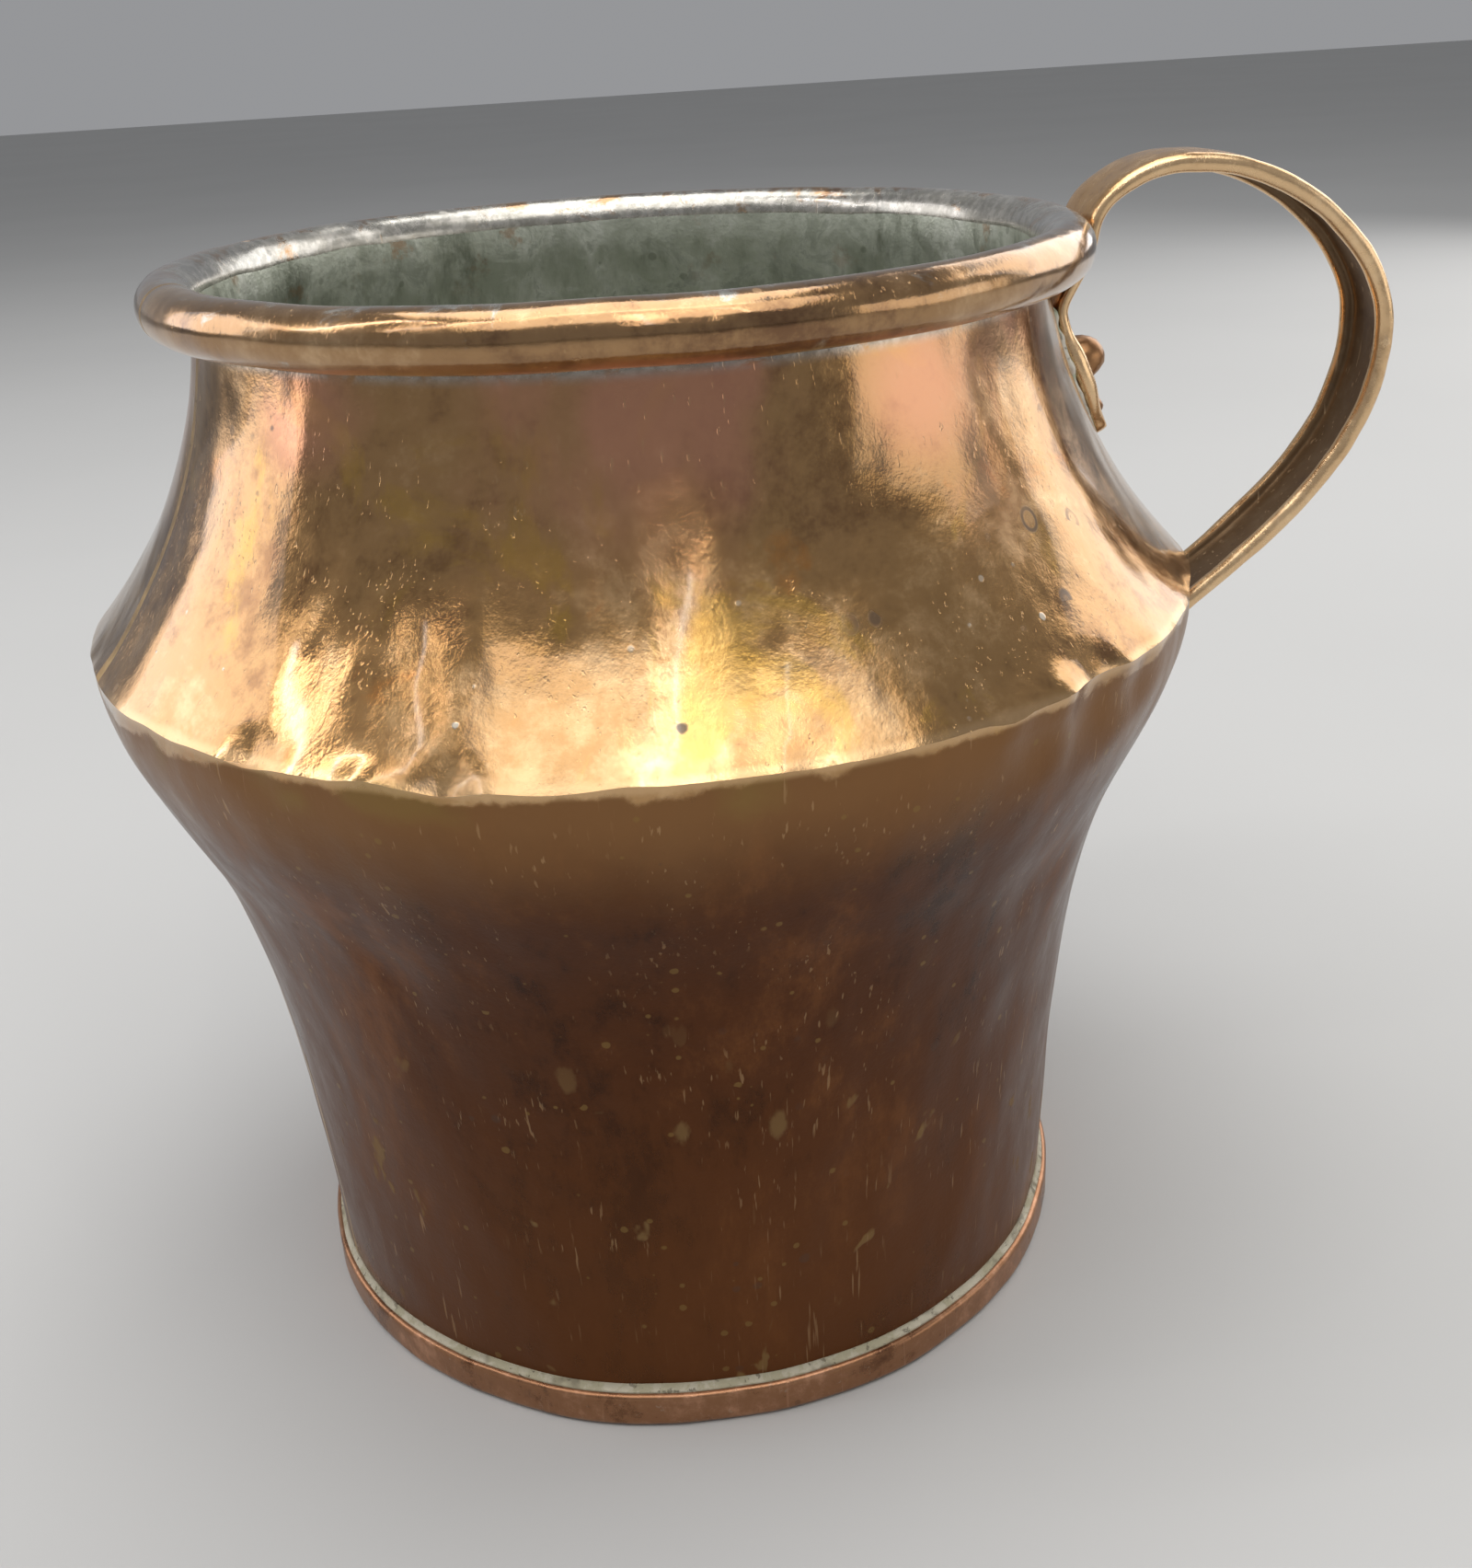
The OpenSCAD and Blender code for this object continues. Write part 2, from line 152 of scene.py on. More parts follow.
class Bench:
    """The few moves that every piece is made with."""

    @staticmethod
    def clear() -> None:
        """Leaves edit mode with nothing selected."""
        if bpy.context.object and bpy.context.object.mode != "OBJECT":
            bpy.ops.object.mode_set(mode="OBJECT")
        bpy.ops.object.select_all(action="DESELECT")

    @classmethod
    def take(cls, *pieces: bpy.types.Object) -> None:
        """Selects these pieces alone, the first one active.

        Args:
            *pieces: The pieces to select.
        """
        cls.clear()
        for piece in pieces:
            piece.select_set(True)
        bpy.context.view_layer.objects.active = pieces[0]

    @classmethod
    def outline(cls, name: str, points: Sequence[Vector], closed: bool) -> bpy.types.Object:
        """A chain of edges in the XZ plane, drawn out of one vertex.

        Args:
            name: The new piece's name.
            points: Its points, as radius and height.
            closed: Whether the last point joins the first.

        Returns:
            The piece, left in edit mode with all of it selected.
        """
        cls.clear()
        start = Vector((points[0].x, 0.0, points[0].y))
        bpy.ops.mesh.primitive_plane_add(size=0.001, location=(0, 0, 0))
        piece = bpy.context.object
        piece.name = piece.data.name = name
        bpy.ops.object.mode_set(mode="EDIT")
        bpy.ops.mesh.select_mode(type="VERT")
        bpy.ops.mesh.select_all(action="SELECT")
        bpy.ops.mesh.merge(type="CENTER")
        bpy.ops.mesh.select_all(action="SELECT")
        bpy.ops.transform.translate(value=start)
        for here, there in zip(points, points[1:]):
            step = (there.x - here.x, 0.0, there.y - here.y)
            bpy.ops.mesh.extrude_vertices_move(TRANSFORM_OT_translate={"value": step})
        if closed:
            mesh = bmesh.from_edit_mesh(piece.data)
            mesh.verts.ensure_lookup_table()
            ends = [v for v in mesh.verts if len(v.link_edges) == 1]
            for v in mesh.verts:
                v.select = v in ends
            mesh.select_flush(False)
            bmesh.update_edit_mesh(piece.data)
            bpy.ops.mesh.edge_face_add()
        bpy.ops.mesh.select_all(action="SELECT")
        return piece

    @classmethod
    def turn(cls, name: str, points: Sequence[Vector], closed: bool, steps: int,
             start: float = 0.0, sweep: float = 360.0) -> bpy.types.Object:
        """A body turned about the Z axis.

        Args:
            name: The new piece's name.
            points: Its section, as radius and height.
            closed: Whether the section is a closed loop, or runs from axis to axis.
            steps: How many steps the sweep is made in.
            start: Direction of the first section in degrees.
            sweep: How far it is turned in degrees.

        Returns:
            The piece in object mode, closed, with its faces outwards.
        """
        piece = cls.outline(name, points, closed)
        whole = abs(sweep - 360.0) < 1e-6
        if start:
            bpy.ops.transform.rotate(value=-math.radians(start), orient_axis="Z", center_override=(0, 0, 0))
        bpy.ops.mesh.spin(steps=steps, angle=-math.radians(sweep), use_auto_merge=False,
                          center=(0, 0, 0), axis=(0, 0, 1))
        bpy.ops.mesh.select_all(action="SELECT")
        bpy.ops.mesh.remove_doubles(threshold=0.01 * MM)
        if not whole:
            bpy.ops.mesh.select_all(action="DESELECT")
            bpy.ops.mesh.select_non_manifold(extend=False, use_wire=False, use_boundary=True,
                                             use_multi_face=False, use_non_contiguous=False, use_verts=False)
            bpy.ops.mesh.edge_face_add()
        cls.outwards()
        return piece

    @classmethod
    def outwards(cls) -> None:
        """Turns the faces of the piece in edit mode outwards and leaves edit mode."""
        bpy.ops.mesh.select_all(action="SELECT")
        bpy.ops.mesh.normals_make_consistent(inside=False)
        bpy.ops.object.mode_set(mode="OBJECT")

    @classmethod
    def smooth(cls, piece: bpy.types.Object, degrees: float = 40.0) -> None:
        """Shades a piece smooth but for its sharp edges.

        Args:
            piece: The piece to shade.
            degrees: The angle past which an edge stays sharp.
        """
        cls.take(piece)
        bpy.ops.object.shade_smooth_by_angle(angle=math.radians(degrees))

    @classmethod
    def wobble(cls, piece: bpy.types.Object, axis: str, strength: float, size: float, offset: float,
               stretch: float = 1.0) -> None:
        """Pushes a piece to and fro along one axis, as uneven hammering leaves it.

        Args:
            piece: The piece, in object mode.
            axis: X, Y or Z.
            strength: The whole range of the push, in metres.
            size: Rough width of one swell, in metres.
            offset: Where in the pattern the piece lies, so that no two pushes match.
            stretch: How much longer than wide a swell is, along Z.
        """
        cls.clear()
        bpy.ops.object.empty_add(location=(offset, offset * 0.7, offset * 0.3))
        guide = bpy.context.object
        guide.scale = (1.0, 1.0, stretch)
        pattern = bpy.data.textures.new(f"swell_{axis}_{offset}", "CLOUDS")
        pattern.noise_scale = size
        pattern.noise_depth = 1
        cls.take(piece)
        bpy.ops.object.modifier_add(type="DISPLACE")
        push = piece.modifiers[-1]
        push.texture = pattern
        push.texture_coords = "OBJECT"
        push.texture_coords_object = guide
        push.direction = axis
        push.strength = strength
        push.mid_level = 0.5
        bpy.context.view_layer.update()
        bpy.ops.object.modifier_apply(modifier=push.name)
        bpy.data.objects.remove(guide)
        bpy.data.textures.remove(pattern)

    @classmethod
    def draw_out(cls, name: str, rings: Sequence[Sequence[Vector]],
                 marks: dict[str, Sequence[float]] | None = None) -> bpy.types.Object:
        """Draws a bar out ring by ring from one end to the other and closes both ends.

        Args:
            name: The piece's name.
            rings: The rings, each with the same number of points in the same order.
            marks: Numbers for each point of a ring, kept on the piece under these names.

        Returns:
            The piece in object mode.
        """
        cls.clear()
        bpy.ops.mesh.primitive_circle_add(vertices=len(rings[0]), radius=1 * MM, fill_type="NOTHING")
        piece = bpy.context.object
        piece.name = piece.data.name = name
        bpy.ops.object.mode_set(mode="EDIT")
        bpy.ops.mesh.select_mode(type="VERT")
        mesh = bmesh.from_edit_mesh(piece.data)
        marks = marks or {}
        mesh.verts.layers.int.new("rank")
        for label in marks:
            mesh.verts.layers.float.new(label)
        rank = mesh.verts.layers.int["rank"]
        mesh.verts.ensure_lookup_table()
        for i, v in enumerate(mesh.verts):
            v[rank] = i
            for label, values in marks.items():
                v[mesh.verts.layers.float[label]] = values[i]
        newest: set[int] = set()
        for i, ring in enumerate(rings):
            mesh = bmesh.from_edit_mesh(piece.data)
            if i:
                bpy.ops.mesh.select_all(action="DESELECT")
                mesh = bmesh.from_edit_mesh(piece.data)
                for v in mesh.verts:
                    v.select = v.index in newest
                mesh.select_flush(True)
                bpy.ops.mesh.extrude_edges_move()
                mesh = bmesh.from_edit_mesh(piece.data)
            mesh.verts.index_update()
            rank = mesh.verts.layers.int["rank"]
            current = [v for v in mesh.verts if v.select] if i else list(mesh.verts)
            newest = {v.index for v in current}
            if not i:
                first = set(newest)
            for v in current:
                v.co = ring[v[rank]]
            bmesh.update_edit_mesh(piece.data)
        for end in (first, newest):
            bpy.ops.mesh.select_all(action="DESELECT")
            mesh = bmesh.from_edit_mesh(piece.data)
            for v in mesh.verts:
                v.select = v.index in end
            mesh.select_flush(True)
            bmesh.update_edit_mesh(piece.data)
            bpy.ops.mesh.edge_face_add()
        cls.outwards()
        bpy.ops.object.mode_set(mode="OBJECT")
        return piece

    @classmethod
    def settle(cls, piece: bpy.types.Object, slot: str, *nodes: str) -> None:
        """Makes a finished piece part of the object.

        Args:
            piece: The piece.
            slot: The name of a material slot; not used.
            *nodes: The nodes it stands for.
        """
        cls.take(piece)
        bpy.ops.object.transform_apply(location=True, rotation=True, scale=True)
        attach(piece, "root")
        if nodes:
            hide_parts(*nodes)
        faces = sum(len(p.vertices) - 2 for p in piece.data.polygons)
        LOG.info("%s: %d triangles, stands for %s", piece.name, faces, ", ".join(nodes) or "itself")


# ----------------------------------------------------------------------------------------------------
# The vessel
# ----------------------------------------------------------------------------------------------------

@dataclass(frozen=True)
class Blow:
    """One knock on the sheet.

    Attributes:
        azimuth: Direction from the axis in degrees, counted from the handle.
        height: Height above the table, in millimetres.
        reach: How far round the knock the sheet gives, in millimetres.
        out: How far it goes outwards, in millimetres.
        up: How far it goes upwards, in millimetres.
    """

    azimuth: float
    height: float
    reach: float
    out: float
    up: float = 0.0


@dataclass
class Vessel:
    """The raised wall with its rolled rim, the tin in it, its brazed seam, and the base cap.

    Attributes:
        wall: Thickness of the copper sheet.
        tin: Thickness of the wiped tin.
        steps: How many sections go round.
        seam_angle: Direction of the brazed seam in degrees.
        seam_sweep: How far the seam reaches round, in degrees.
        turn_share: Where the flare turns over, as shares of radius and height up to the crease.
        floor: Thickness of the base cap's floor.
    """

    wall: float = 1.5 * MM
    tin: float = 0.3 * MM
    wire_gap: float = 0.1 * MM
    steps: int = 300
    seam_angle: float = -161.0
    seam_sweep: float = 1.5
    turn_share: Point = (0.553, 0.737)
    floor: float = 1.5 * MM
    crease_height: float = 144.0 * MM
    cap_edge: float = 2.0 * MM
    cap_gap: float = 0.1 * MM
    blows: Sequence[Blow] = field(default_factory=tuple)

    def __post_init__(self) -> None:
        """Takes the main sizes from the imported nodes."""
        self.crease_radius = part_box("body")[1].x
        wire_low, wire_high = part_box("rim_wire")
        self.wire_radius = (wire_high.z - wire_low.z) / 2
        self.bead_radius = self.wire_radius + self.wire_gap + self.wall
        self.rim_height = (wire_high.z + wire_low.z) / 2
        self.rim_radius = wire_high.x - self.wire_radius
        self.neck_radius = self.rim_radius - self.bead_radius + self.wall
        cap_low, cap_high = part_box("base_cap")
        self.cap_height = cap_high.z
        self.cap_radius = cap_high.x
        self.foot_radius = cap_high.x - self.cap_edge - self.cap_gap
        self.bead_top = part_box("base_seam_solder")[1].z

    def outer_line(self) -> list[Vector]:
        """The wall's outer face from the base cap's floor to the neck.

        Returns:
            Points of radius and height, the lowest first.
        """
        foot = Vector((self.foot_radius, self.cap_height))
        turn = Vector((self.foot_radius + (self.crease_radius - self.foot_radius) * self.turn_share[0],
                       self.cap_height + (self.crease_height - self.cap_height) * self.turn_share[1]))
        crease = Vector((self.crease_radius, self.crease_height))
        neck = Vector((self.neck_radius, self.rim_height - 4 * MM))
        rise = (turn.y - foot.y) * 0.53
        lower = curve(foot, Vector((2.1 * MM, rise)), Vector((-7.6, -16)) * MM, turn, 44)
        band = curve(turn, Vector((5.6, 12)) * MM, Vector((0, -12.5)) * MM, crease, 26)
        cone = curve(crease, Vector((-18.4, 20)) * MM, Vector((2, -17)) * MM, neck, 44)
        ridge = [crease + Vector((-0.12, -0.7)) * MM, crease, crease + Vector((-0.45, 0.55)) * MM]
        return [Vector((self.foot_radius, self.floor)), *lower, *band[:-1], *ridge, *cone[2:], neck]

    def roll(self) -> list[Vector]:
        """The rim's rolled sheet, from the hollow's start round to the bead's inner side.

        Returns:
            Points of radius and height.
        """
        centre = Vector((self.rim_radius, self.rim_height))
        hollow = arc(centre, self.wire_radius + self.wire_gap, 180, -128, 16)
        bead = arc(centre, self.bead_radius, -130, 180, 34)
        return hollow + bead

    def inner_line(self, depth: float, spacing: float) -> list[Vector]:
        """A face inside the wall, from the rim down to the floor.

        Args:
            depth: How far inside the outer face it lies.
            spacing: The least distance between two points.

        Returns:
            Points of radius and height, the highest first.
        """
        line = beside(self.outer_line(), depth)
        line[-1] = Vector((self.neck_radius - depth, self.rim_height - 4 * MM))
        line[0] = Vector((self.foot_radius - depth, self.floor))
        return list(reversed(thin_out(line, spacing)))

    def build(self) -> dict[str, bpy.types.Object]:
        """Builds all of the turned pieces and hammers them together.

        Returns:
            The pieces by name.
        """
        sheet = self.outer_line() + self.roll() + self.inner_line(self.wall, 4 * MM)
        rest = 360.0 - self.seam_sweep
        seam_start = self.seam_angle - self.seam_sweep / 2
        wall = Bench.turn("copper_wall", sheet, True, self.steps, seam_start + self.seam_sweep, rest)
        braze = Bench.turn("braze_run", sheet, True, 2, seam_start, self.seam_sweep)
        pieces = [wall, braze, self.build_tin(), self.build_wire(), self.build_cap(), self.build_seam_bead()]
        return self.hammer(pieces)

    def build_tin(self) -> bpy.types.Object:
        """The wiped tin over the inner wall and the floor.

        Returns:
            The piece.
        """
        skin = self.inner_line(self.wall + self.tin, 2.2 * MM)
        skin[-1] = Vector((self.foot_radius - self.wall - self.tin, self.floor + self.tin))
        lip = Vector((self.neck_radius - self.wall, self.rim_height))
        skin[0] = Vector((self.neck_radius - self.wall - self.tin, self.rim_height - 4 * MM))
        back = list(reversed(self.inner_line(self.wall, 4 * MM)))
        disc = [Vector((skin[-1].x * share, self.floor + self.tin)) for share in
                (0.99, 0.95, 0.88, 0.8, 0.7, 0.6, 0.5, 0.4, 0.3, 0.2, 0.1, 0.0)]
        under = [Vector((self.foot_radius * share, self.floor)) for share in (0.0, 0.3, 0.6, 0.85)]
        loop = [*reversed(disc), *reversed(skin), lip, *reversed(back), *reversed(under)]
        return Bench.turn("wiped_tin", loop, False, self.steps)

    def build_wire(self) -> bpy.types.Object:
        """The iron wire inside the rolled rim.

        Returns:
            The piece.
        """
        centre = Vector((self.rim_radius, self.rim_height))
        return Bench.turn("iron_wire", arc(centre, self.wire_radius, 0, 345, 23), True, self.steps)

    def build_cap(self) -> bpy.types.Object:
        """The copper disc with its edge turned up round the wall's foot.

        Returns:
            The piece.
        """
        half = self.cap_edge / 2
        inside = self.foot_radius + self.cap_gap
        under = [Vector((self.cap_radius * share, 0.0)) for share in (0.0, 0.3, 0.6, 0.85)]
        corner = arc(Vector((self.cap_radius - 1.6 * MM, 1.6 * MM)), 1.6 * MM, -90, 0, 6)
        side = [Vector((self.cap_radius, h)) for h in (2.6 * MM, 3.8 * MM, 5.0 * MM)]
        crown = arc(Vector((self.cap_radius - half, self.cap_height - half)), half, 0, 180, 12)
        well = [Vector((inside, self.cap_height - half - 2 * MM)), Vector((inside, self.floor))]
        floor = [Vector((inside * share, self.floor)) for share in (0.8, 0.5, 0.25, 0.0)]
        return Bench.turn("base_cup", [*under, *corner, *side, *crown, *well, *floor], False, self.steps)

    def build_seam_bead(self) -> bpy.types.Object:
        """The solder bead in the groove above the base cap.

        Returns:
            The piece.
        """
        half = self.cap_edge / 2
        crown = self.foot_radius + self.cap_gap + half
        line = self.outer_line()
        above = next(p for p in line if p.y > self.bead_top)
        lean = (above.x - self.foot_radius) * (self.bead_top - self.cap_height) / (above.y - self.cap_height)
        top = Vector((self.foot_radius + lean, self.bead_top))
        groove = list(reversed(arc(Vector((crown, self.cap_height - half)), half, 90, 180, 6)))
        face = [Vector((crown, self.cap_height + 0.3 * MM)),
                Vector((self.foot_radius + 0.75 * MM, self.cap_height + 0.5 * MM)),
                Vector((self.foot_radius + 0.4 * MM, self.cap_height + 0.9 * MM)),
                top + Vector((0.2 * MM, 0.0))]
        back = [top, Vector((self.foot_radius, self.cap_height)),
                Vector((self.foot_radius, self.cap_height - half))]
        return Bench.turn("base_seam_bead", [*groove, *face, *back], True, self.steps)

    def hammer(self, pieces: list[bpy.types.Object]) -> dict[str, bpy.types.Object]:
        """Hammers the nested pieces as one, so that they still fit each other.

        Args:
            pieces: The turned pieces.

        Returns:
            The pieces by name.
        """
        names = [piece.name for piece in pieces]
        for piece in pieces:
            piece.data.materials.append(bpy.data.materials.new(f"part_of_{piece.name}"))
        Bench.take(*pieces)
        bpy.ops.object.join()
        whole = bpy.context.object
        Bench.wobble(whole, "X", 1.5 * MM, 34 * MM, 0.13, 2.2)
        Bench.wobble(whole, "Y", 1.5 * MM, 34 * MM, 0.57, 2.2)
        Bench.wobble(whole, "X", 0.45 * MM, 13 * MM, 0.31, 1.8)
        Bench.wobble(whole, "Y", 0.45 * MM, 13 * MM, 0.83, 1.8)
        self.strike(whole)
        bpy.ops.object.mode_set(mode="EDIT")
        bpy.ops.mesh.separate(type="MATERIAL")
        bpy.ops.object.mode_set(mode="OBJECT")
        found = {}
        for piece in [o for o in bpy.context.selected_objects if o.type == "MESH"]:
            first = piece.data.polygons[0].material_index
            name = piece.data.materials[first].name.replace("part_of_", "")
            piece.name = piece.data.name = name
            piece.data.materials.clear()
            found[name] = piece
        for name in names:
            Bench.smooth(found[name], 42.0 if name != "base_cup" else 60.0)
        for left in [m for m in bpy.data.materials if m.name.startswith("part_of_")]:
            bpy.data.materials.remove(left)
        return found

    def strike(self, whole: bpy.types.Object) -> None:
        """Gives the sheet its single knocks.

        Args:
            whole: The joined pieces.
        """
        Bench.take(whole)
        tree = KDTree(len(whole.data.vertices))
        for v in whole.data.vertices:
            tree.insert(v.co, v.index)
        tree.balance()
        bpy.ops.object.mode_set(mode="EDIT")
        bpy.ops.mesh.select_mode(type="VERT")
        mesh = bmesh.from_edit_mesh(whole.data)
        mesh.verts.ensure_lookup_table()
        for blow in self.blows:
            way = math.radians(blow.azimuth)
            radial = Vector((math.cos(way), math.sin(way), 0.0))
            spot = radial * self.radius_at(blow.height * MM) + Vector((0, 0, blow.height * MM))
            bpy.ops.mesh.select_all(action="DESELECT")
            mesh.verts[tree.find(spot)[1]].select = True
            mesh.select_flush(True)
            bpy.ops.transform.translate(
                value=radial * (blow.out * MM) + Vector((0, 0, blow.up * MM)),
                use_proportional_edit=True, proportional_edit_falloff="SMOOTH",
                proportional_size=blow.reach * MM, use_proportional_connected=False)
        bpy.ops.object.mode_set(mode="OBJECT")

    def radius_at(self, height: float) -> float:
        """The wall's outer radius at a height.

        Args:
            height: The height in metres.

        Returns:
            The radius in metres.
        """
        line = self.outer_line()
        for low, high in zip(line, line[1:]):
            if low.y <= height <= high.y and high.y > low.y:
                return low.x + (high.x - low.x) * (height - low.y) / (high.y - low.y)
        return self.neck_radius


def knocks() -> list[Blow]:
    """The knocks that the sheet has had: the crease's kinks, the dents below it, and a few in the rim.

    Returns:
        The knocks in the order they are struck.
    """
    chance = random.Random(7)
    struck = [
        Blow(-52, 138.5, 13, -2.6, 0.4), Blow(-60, 137, 9, -1.3, 0.0), Blow(-45, 139, 8, -1.2, 0.3),
        Blow(-56, 144, 6, 0.7, 0.5), Blow(-64, 144, 6, 0.5, -0.6), Blow(-112, 144, 7, -0.5, -0.9),
        Blow(-119, 144, 7, 0.3, 0.8), Blow(-131, 144, 8, -0.3, -0.7), Blow(-104, 144, 9, 0.2, -0.5),
        Blow(-126, 100, 9, -0.6, 0.0), Blow(-50, 100, 13, -0.8, 0.0), Blow(-38, 96, 11, 0.5, 0.0),
        Blow(-46, 70, 14, -0.7, 0.0), Blow(-33, 60, 12, 0.4, 0.0), Blow(34, 128, 14, -1.4, 0.0),
        Blow(118, 143, 9, -0.9, 0.8), Blow(150, 92, 18, -1.3, 0.0), Blow(80, 60, 16, -0.9, 0.0),
    ]
    for i in range(34):
        way = i * 360 / 34 + chance.uniform(-4, 4)
        if abs(way - 360) > 9 and way > 9:
            struck.append(Blow(way, 144, chance.uniform(5, 9), chance.uniform(-0.35, 0.3),
                               chance.uniform(-0.55, 0.55)))
    for i in range(14):
        struck.append(Blow(i * 360 / 14 + chance.uniform(-9, 9), 205, chance.uniform(10, 18),
                           chance.uniform(-0.35, 0.35), chance.uniform(-0.5, 0.5)))
    return struck


# ----------------------------------------------------------------------------------------------------
# The handle
# ----------------------------------------------------------------------------------------------------

@dataclass(frozen=True)
class Station:
    """One place along the strap.

    Attributes:
        place: Where the strap's outer face lies, as X and Z.
        half_width: Half of the strap's width there.
        depth: How deep its hems are.
        web: How deep the floor of its channel lies under the outer face.
        sag: How far its edges lie back towards the vessel, so that it follows the round wall.
    """

    place: Vector
    half_width: float
    depth: float
    web: float
    sag: float = 0.0


class Face(Enum):
    """Which part of the strap's section a point belongs to."""

    OUTER = "outer face"
    EDGE = "rounded edge"
    HEM = "bottom of the hem"
    WALL = "inner side of the hem"
    FLOOR = "channel floor"


@dataclass
class Strap:
    """The strap handle: hemmed channel section, bent into a loop, with a leaf at each end.

    Attributes:
        half_width: Half of the strap's width.
        depth: Depth of its hems round the loop.
        rim_depth: Depth of its hems where it passes the rim.
        web: Thickness between the hems.
        hem: Width of a hem as a share of the half width.
        solder: Thickness of the solder under a leaf.
        lower_leaf: Thickness of the lower leaf.
        broad: Half height of a leaf's broad part round its large rivet.
        upper_top_drop: How far below the rim the strap grows out of the upper leaf.
        lower_top_drop: How far below the crease it grows into the lower leaf.
        large_from_tip: Distance from a leaf's tip up to its large rivet.
        small_from_tip: Distance from a leaf's tip up to its small rivet.
    """

    vessel: Vessel
    half_width: float = 9 * MM
    depth: float = 4 * MM
    rim_depth: float = 2.8 * MM
    web: float = 1.6 * MM
    hem: float = 0.36
    solder: float = 0.9 * MM
    lower_leaf: float = 3 * MM
    broad: float = 6.2 * MM
    upper_top_drop: float = 16 * MM
    lower_top_drop: float = 34 * MM
    large_from_tip: float = 13.6 * MM
    small_from_tip: float = 4.2 * MM

    def __post_init__(self) -> None:
        """Takes the leaves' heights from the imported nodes."""
        self.low, self.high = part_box("handle")
        self.lower_tip = self.low.z
        self.upper_tip = self.vessel.rim_height - 41.2 * MM

    def section(self, station: Station) -> list[tuple[Face, float, float]]:
        """The strap's section at a station, with each point's part, place across and depth.

        Args:
            station: The place along the strap.

        Returns:
            Its points in order round the section.
        """
        w, d, f = station.half_width, station.depth, station.web
        inner = w * (1 - self.hem)
        half = [
            (Face.OUTER, 0.0, 0.0), (Face.OUTER, 0.35 * w, 0.0), (Face.OUTER, 0.68 * w, 0.02 * d),
            (Face.OUTER, 0.87 * w, 0.06 * d), (Face.EDGE, 0.965 * w, 0.2 * d), (Face.EDGE, w, 0.45 * d),
            (Face.EDGE, 0.985 * w, 0.72 * d), (Face.HEM, 0.92 * w, 0.93 * d), (Face.HEM, 0.83 * w, d),
            (Face.HEM, inner + 0.1 * w, 0.96 * d), (Face.WALL, inner + 0.02 * w, f + 0.7 * (d - f)),
            (Face.WALL, inner, f + 0.3 * (d - f)), (Face.FLOOR, inner - 0.04 * w, f),
            (Face.FLOOR, 0.3 * w, f - 0.03 * (d - f)), (Face.FLOOR, 0.0, f - 0.04 * (d - f)),
        ]
        other = [(part, -u, v) for part, u, v in half[1:-1]]
        points = half + list(reversed(other))
        return [(part, u, v + station.sag * (u / w) ** 2) for part, u, v in points]

    def stations(self) -> list[Station]:
        """The strap's places from the upper leaf's tip over the loop to the lower leaf's tip.

        Returns:
            The stations in order.
        """
        v = self.vessel
        upper_top = v.rim_height - self.upper_top_drop
        lower_top = v.crease_height - self.lower_top_drop
        lower_seat = self.solder + self.lower_leaf
        at_upper = Vector((v.radius_at(upper_top) + self.solder, upper_top))
        at_lower = Vector((v.radius_at(lower_top) + lower_seat, lower_top))
        return [*self.upper_leaf_stations(upper_top), *self.loop_stations(at_upper, at_lower),
                *self.lower_leaf_stations(lower_top, lower_seat)]

    def upper_leaf_stations(self, top: float) -> list[Station]:
        """The upper leaf: hems stand either side of the large rivet, and the tongue below is flat.

        Args:
            top: Height where the strap grows out of it.

        Returns:
            Its stations, the tip first.
        """
        line = []
        large = self.upper_tip + self.large_from_tip
        for share in [i / 15 for i in range(15)]:
            z = self.upper_tip + (top - self.upper_tip) * share
            near = math.exp(-((z - large) / self.broad) ** 4)
            below = min(max((large - 5 * MM - z) / (5 * MM), 0), 1)
            tip = min(max((z - self.upper_tip) / (2.5 * MM), 0), 1)
            tongue = (4.4 + 4.2 * (z - self.upper_tip) / self.half_width) * MM
            wide = (9 + 1.0 * near) * MM * (1 - below) + below * tongue
            deep = self.rim_depth + 1.3 * MM * near + below * 0.1 * MM
            web = 2 * MM + below * 0.75 * MM
            place = Vector((self.vessel.radius_at(z) + self.solder, z))
            sag = -0.55 * MM * (wide / self.half_width) ** 2
            line.append(Station(place, wide * (0.8 + 0.2 * tip), deep, min(web, deep), sag))
        return line

    def loop_stations(self, at_upper: Vector, at_lower: Vector) -> list[Station]:
        """The strap from the upper leaf past the rim, over the loop and in under the crease.

        Args:
            at_upper: Where it leaves the upper leaf.
            at_lower: Where it meets the lower leaf.

        Returns:
            Its stations.
        """
        v = self.vessel
        at_rim = Vector((v.rim_radius + v.bead_radius + 0.2 * MM, v.rim_height))
        at_top = Vector((at_rim.x + 20.5 * MM, self.high.z))
        at_out = Vector((self.high.x, v.crease_height + 38 * MM))
        at_under = at_out + Vector((-25.7 * MM, -44.6 * MM))
        line = []
        rise = curve(at_upper, Vector((-0.7, 5)) * MM, Vector((-0.1, -1.5)) * v.bead_radius, at_rim, 9)
        for i, p in enumerate(rise):
            web, sag = 2 * MM - 0.4 * MM * i / 8, -0.5 * MM * (1 - i / 8)
            line.append(Station(p, self.half_width, self.rim_depth, web, sag))
        crown = curve(at_rim, Vector((0.2, 1.57)) * v.bead_radius, Vector((-9, 0)) * MM, at_top, 12)
        for i, p in enumerate(crown):
            depth = self.rim_depth + (self.depth - self.rim_depth) * i / 12
            line.append(Station(p, self.half_width, depth, self.web))
        bow = curve(at_top, Vector((22, 0)) * MM, Vector((0, 17)) * MM, at_out, 22)
        bow += curve(at_out, Vector((0, -17)) * MM, Vector((17.7, 15.1)) * MM, at_under, 22)
